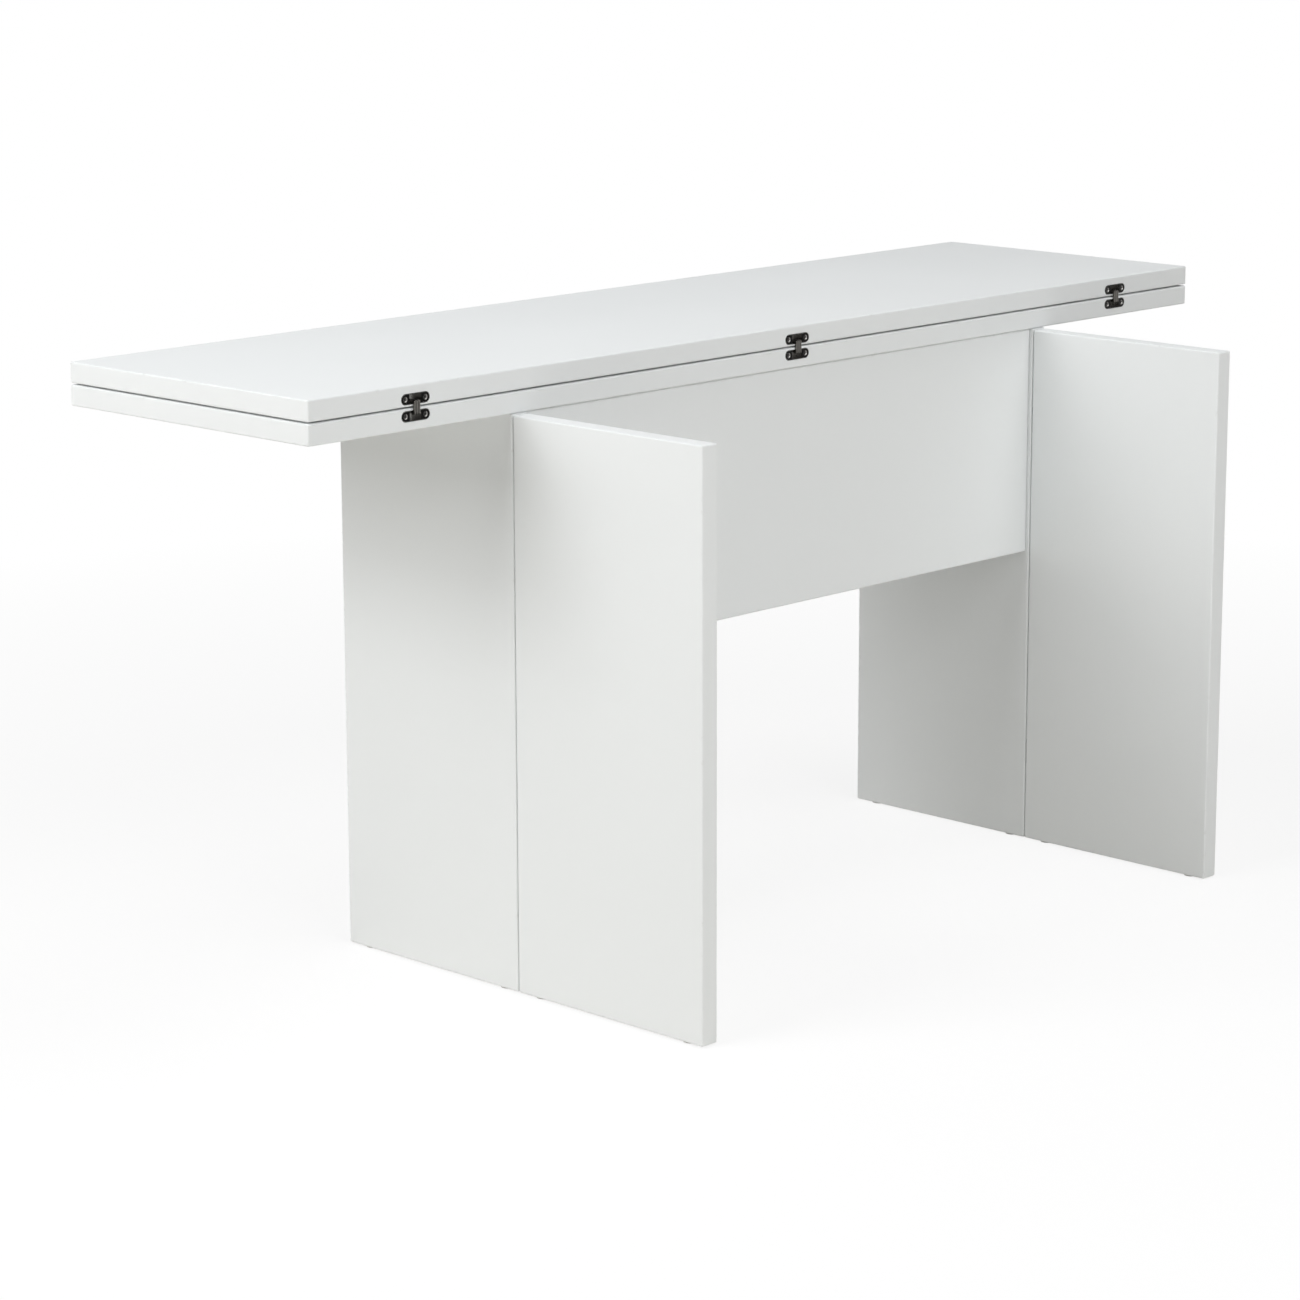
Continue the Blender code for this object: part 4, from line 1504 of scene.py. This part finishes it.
class Table:
    """The whole table: boards, hinges and fittings, dressed in their finishes."""

    def __init__(self) -> None:
        """Measures the frame and mixes the finishes."""
        self.sides = hinge_sides()
        self.casting = HingeCasting(*sorted(extent(self.sides[0].housings[0]), reverse=True))
        self.screws = Screws()
        self.cams = [node for side in SIDES for node in self._in_panel("cam", side)]
        size = extent(self.cams[0])
        self.cam = Cam(size.x / 2, size.y)
        legs = [f"{side}_{part}" for side in SIDES for part in ("fixed_leg", "wing")]
        self.glides = {leg: [f"{leg}_glide_{end}" for end in ("front", "back")] for leg in legs}
        size = extent(self.glides[legs[0]][0])
        self.glide = Glide(size.x / 2, size.z)
        effects = SurfaceEffects()
        self.dull_link = DULL_LINK_STEEL.material(effects)
        self.screw_steel = SCREW_STEEL.material(effects)
        finishes = self._finishes().items()
        self.finishes = {slot: finish.material(effects) for slot, finish in finishes}

    @staticmethod
    def _in_panel(kind: str, side: str) -> list[str]:
        """Fittings of a kind in one end of the centre panel."""
        return [f"panel_{kind}_{side}_{level}" for level in LEVELS]

    def _finishes(self) -> dict[Slot, Finish]:
        """The finish of each slot, with rim wear that fits the housings and cams; on the housings the lighter rim
        is also a painted edge highlight.

        Returns:
            The finishes by slot.
        """
        end = self.casting.width / 2
        # the housings' lighter rim: worn coat and a painted highlight of the eased edge; the cut faces below it
        # are bare metal
        coat = RimWearAndHighlight(
            colour=(0.22, 0.215, 0.205),
            roughness=0.26,
            reach=0.0011,
            radius=end,
            half_length=self.casting.length / 2 - end,
            coat_depth=self.casting.plate_ease,
        )
        skin = RimWearAndHighlight(
            colour=(0.70, 0.70, 0.68),
            roughness=0.2,
            reach=0.0012,
            radius=self.cam.radius,
        )
        return {
            Slot.BOARD: Lacquer(),
            Slot.CASTING: replace(GUNMETAL, wear=coat),
            Slot.LINK: LINK_STEEL,
            Slot.BRACKET: ZINC_PLATE,
            Slot.FITTING: replace(CAST_ZINC, wear=skin),
            Slot.GLIDE: PALE_NYLON,
            Slot.DOWEL: BEECH,
        }

    def build(self) -> None:
        """Builds every piece."""
        self._build_hinges()
        self._build_boards()
        self._build_brackets()
        self._build_round_fittings()
        self.screws.build({HINGE_SCREW: self.screw_steel, BRACKET_SCREW: self.finishes[Slot.BRACKET]})
        self._dress_hidden_nodes()

    def _fit(self, node: str, word: str, mesh: Mesh, matrix: Matrix, slot: Slot) -> None:
        """Puts a copy of a mesh in the place of a CAD node.

        Args:
            node: The CAD node.
            word: Last word of the piece's name.
            mesh: The shape.
            matrix: Where it goes.
            slot: Its material slot.
        """
        copy = moved(mesh, matrix)
        dress(copy, self.finishes[slot])
        adopt(shown(f"{node}_{word}", copy), BODIES[node], [node])

    def _build_hinges(self) -> None:
        """Builds the housings and arms, and notes the housings' screws."""
        casting = self.casting.mesh()
        links = LinkPlates()
        for side in self.sides:
            for node in side.housings:
                seat = side.seat(node)
                self._fit(node, "casting", casting, seat, Slot.CASTING)
                for place in self.casting.screw_places:
                    self.screws.drive(HINGE_SCREW, BODIES[node], seat @ place, side.facing.vector)
            links.build(side, self.dull_link if side.pack is Pack.PAIR else self.finishes[Slot.LINK])

    def _build_boards(self) -> None:
        """Builds the boards, cut for everything that is let into them."""
        recess = self.casting.recess()
        cutters = {
            side.board: [moved(recess, side.seat(node)) for node in side.housings]
            for side in self.sides
        }
        cutters["centre_panel"] = [bore(node, Way.BACK) for node in self.cams]
        for side in SIDES:
            nodes = self._in_panel("cam_bolt", side) + self._in_panel("dowel", side)
            pegs = [bore(node, Way.RIGHT) for node in nodes]
            cutters["centre_panel"] += pegs
            cutters[f"{side}_fixed_leg"] += [peg.copy() for peg in pegs]
        for leg, glides in self.glides.items():
            cutters[leg] += [moved(self.glide.bore(), above_floor(node)) for node in glides]
        for node, removed in cutters.items():
            Board(node).build(removed, self.finishes[Slot.BOARD])

    def _build_brackets(self) -> None:
        """Builds the angle brackets and notes their screws."""
        inward = {f"{side}_leg_bracket": -outward.vector for side, outward in SIDES.items()}
        inward |= {f"panel_bracket_{side}": Way.BACK.vector for side in SIDES}
        down = Way.DOWN.vector
        for node, level in inward.items():
            size = extent(node)
            across = down.cross(level)
            bracket = Bracket(size.z, abs(size.dot(across)))
            corner = centre(node) - level * size.z / 2 - down * size.z / 2
            self._fit(node, "angle", bracket.mesh(), axes(corner, level, across, down), Slot.BRACKET)
            for run, facing in ((level, down), (down, level)):
                for sign in (-1, 1):
                    spot = corner + run * bracket.hole_reach + across * sign * bracket.hole_spacing / 2
                    spot += facing * bracket.thickness
                    self.screws.drive(BRACKET_SCREW, BODIES[node], spot, facing)

    def _build_round_fittings(self) -> None:
        """Builds the cams in the back of the centre panel and the glides under the legs."""
        cam = self.cam.mesh()
        for node in self.cams:
            spot = centre(node) + Way.BACK.vector * self.cam.depth / 2
            seat = axes(spot, Way.LEFT.vector, Way.UP.vector, Way.BACK.vector)
            self._fit(node, "cam", cam, seat, Slot.FITTING)
        glide = self.glide.mesh()
        for node in [node for glides in self.glides.values() for node in glides]:
            self._fit(node, "disc", glide, above_floor(node), Slot.GLIDE)

    def _dress_hidden_nodes(self) -> None:
        """Gives the bolts and dowels inside the boards their finishes."""
        for kind, slot in (("cam_bolt", Slot.FITTING), ("dowel", Slot.DOWEL)):
            for node in [node for side in SIDES for node in self._in_panel(kind, side)]:
                dress(frame["nodes"][node].data, self.finishes[slot])


# Studio


@dataclass(frozen=True)
class Viewpoint:
    """The camera, fitted to the photograph's corner points."""

    place: Triple = (-3.6091, -3.3023, 1.4319)
    turn: Triple = (1.6830, -0.7156, 0.5683)  # rotation vector from the table to the lens
    focal_pixels: float = 3951.78
    image_pixels: float = 1300.0
    sensor: float = 36.0

    def build(self) -> None:
        """Builds the camera and makes it the scene's."""
        turn = Vector(self.turn)
        right, down, ahead = Matrix.Rotation(turn.length, 3, turn.normalized())
        data = bpy.data.cameras.new("viewpoint")
        data.sensor_width = self.sensor
        data.lens = self.focal_pixels / self.image_pixels * self.sensor
        camera = bpy.data.objects.new("viewpoint", data)
        camera.matrix_world = axes(Vector(self.place), right, -down, -ahead)
        bpy.context.scene.collection.objects.link(camera)
        bpy.context.scene.camera = camera


@dataclass(frozen=True)
class Softbox:
    """A square lamp that looks at the table."""

    name: str
    azimuth: float  # degrees from the front, towards the left
    elevation: float
    power: float
    size: float = 2.5
    away: float = 5.0
    aim_height: float = 0.4

    def build(self) -> None:
        """Builds the lamp."""
        turn, rise = math.radians(self.azimuth), math.radians(self.elevation)
        level = math.cos(rise)
        way = Vector((-math.sin(turn) * level, -math.cos(turn) * level, math.sin(rise)))
        place = Way.UP.vector * self.aim_height + way * self.away
        data = bpy.data.lights.new(self.name, "AREA")
        data.size = self.size
        data.energy = self.power
        lamp = bpy.data.objects.new(self.name, data)
        aim = (-way).to_track_quat("-Z", "Y").to_matrix().to_4x4()
        lamp.matrix_world = Matrix.Translation(place) @ aim
        bpy.context.scene.collection.objects.link(lamp)


class Studio:
    """A pale floor, soft light and the camera."""

    LAMPS = (
        Softbox("left_low", 100, 28, 65.0),
        Softbox("left_high", 100, 44, 70.0),
        Softbox("left_back", 120, 28, 37.0),
        Softbox("front", 4, 28, 93.0, size=3.6),
        Softbox("front_left", 20, 44, 37.0),
        Softbox("overhead", -60, 75, 67.0),
    )
    AIR = 0.005  # light from all round
    FLOOR_SIZE = 24.0
    FLOOR_TINT = (0.825, 0.8, 0.75)  # what it bounces back at the boards
    SHADOW_SHARE = 0.16  # share of the lit floor, which has the shadow, in what the camera sees
    SHADOW_NEAR = 1.1  # up to this far from the middle the share is whole
    SHADOW_FAR = 2.6  # from this far on there is only white

    def build(self) -> None:
        """Builds the studio."""
        bpy.context.scene.view_settings.view_transform = "Standard"
        Viewpoint().build()
        for lamp in self.LAMPS:
            lamp.build()
        self._build_air()
        self._build_floor()

    @staticmethod
    def _blank(owner: Material | World) -> NodeSheet:
        """Gives a material or the world an empty tree.

        Args:
            owner: The material or world.

        Returns:
            The tree's sheet.
        """
        owner.use_nodes = True
        owner.node_tree.nodes.clear()
        return NodeSheet(owner.node_tree)

    @staticmethod
    def _end(sheet: NodeSheet, output: str, light: NodeSocket, view: NodeSocket) -> None:
        """Ends a tree with one shader for rays that look at things and one for all other rays.

        The first are those straight from the camera, in a reflection or through glass.

        Args:
            sheet: The tree.
            output: Type of its last node.
            light: Shader for the other rays.
            view: Shader for the rays that look.
        """
        rays = sheet.add("ShaderNodeLightPath").outputs
        mirrored = sheet.math("MAXIMUM", rays["Is Glossy Ray"], rays["Is Transmission Ray"])
        looking = sheet.math("MAXIMUM", rays["Is Camera Ray"], mirrored)
        sheet.add(output, {"Surface": sheet.mix_shaders(looking, light, view)})

    def _build_air(self) -> None:
        """Builds the even light from all round, with a white backdrop."""
        world = bpy.data.worlds.new("studio_air")
        sheet = self._blank(world)
        light = sheet.result("ShaderNodeBackground", {"Strength": self.AIR, "Color": WHITE})
        backdrop = sheet.result("ShaderNodeBackground", {"Strength": 1.0, "Color": WHITE})
        self._end(sheet, "ShaderNodeOutputWorld", light, backdrop)
        bpy.context.scene.world = world

    def _build_floor(self) -> None:
        """Builds the white floor, which keeps a soft shadow round the table."""
        half = self.FLOOR_SIZE / 2
        corners = [(-half, -half, 0), (half, -half, 0), (half, half, 0), (-half, half, 0)]
        mesh = bpy.data.meshes.new("floor")
        mesh.from_pydata(corners, [], [(0, 1, 2, 3)])
        material = bpy.data.materials.new("pale_floor")
        sheet = self._blank(material)
        place = sheet.add("ShaderNodeTexCoord").outputs["Object"]
        away = sheet.vector_math("LENGTH", place).outputs["Value"]
        share = sheet.spread(away, self.SHADOW_NEAR, self.SHADOW_FAR, self.SHADOW_SHARE, 0.0)
        paint = sheet.result("ShaderNodeBsdfDiffuse", {"Color": (*self.FLOOR_TINT, 1)})
        bare = sheet.result("ShaderNodeBsdfDiffuse", {"Color": WHITE})
        glow = sheet.result("ShaderNodeEmission", {"Color": WHITE, "Strength": 1.0})
        self._end(sheet, "ShaderNodeOutputMaterial", paint, sheet.mix_shaders(share, glow, bare))
        mesh.materials.append(material)
        shown("floor", mesh)


def main() -> None:
    """Builds the table and its studio."""
    logging.basicConfig(level=logging.INFO, format="%(name)s: %(message)s")
    Table().build()
    Studio().build()


if __name__ == "__main__":
    main()
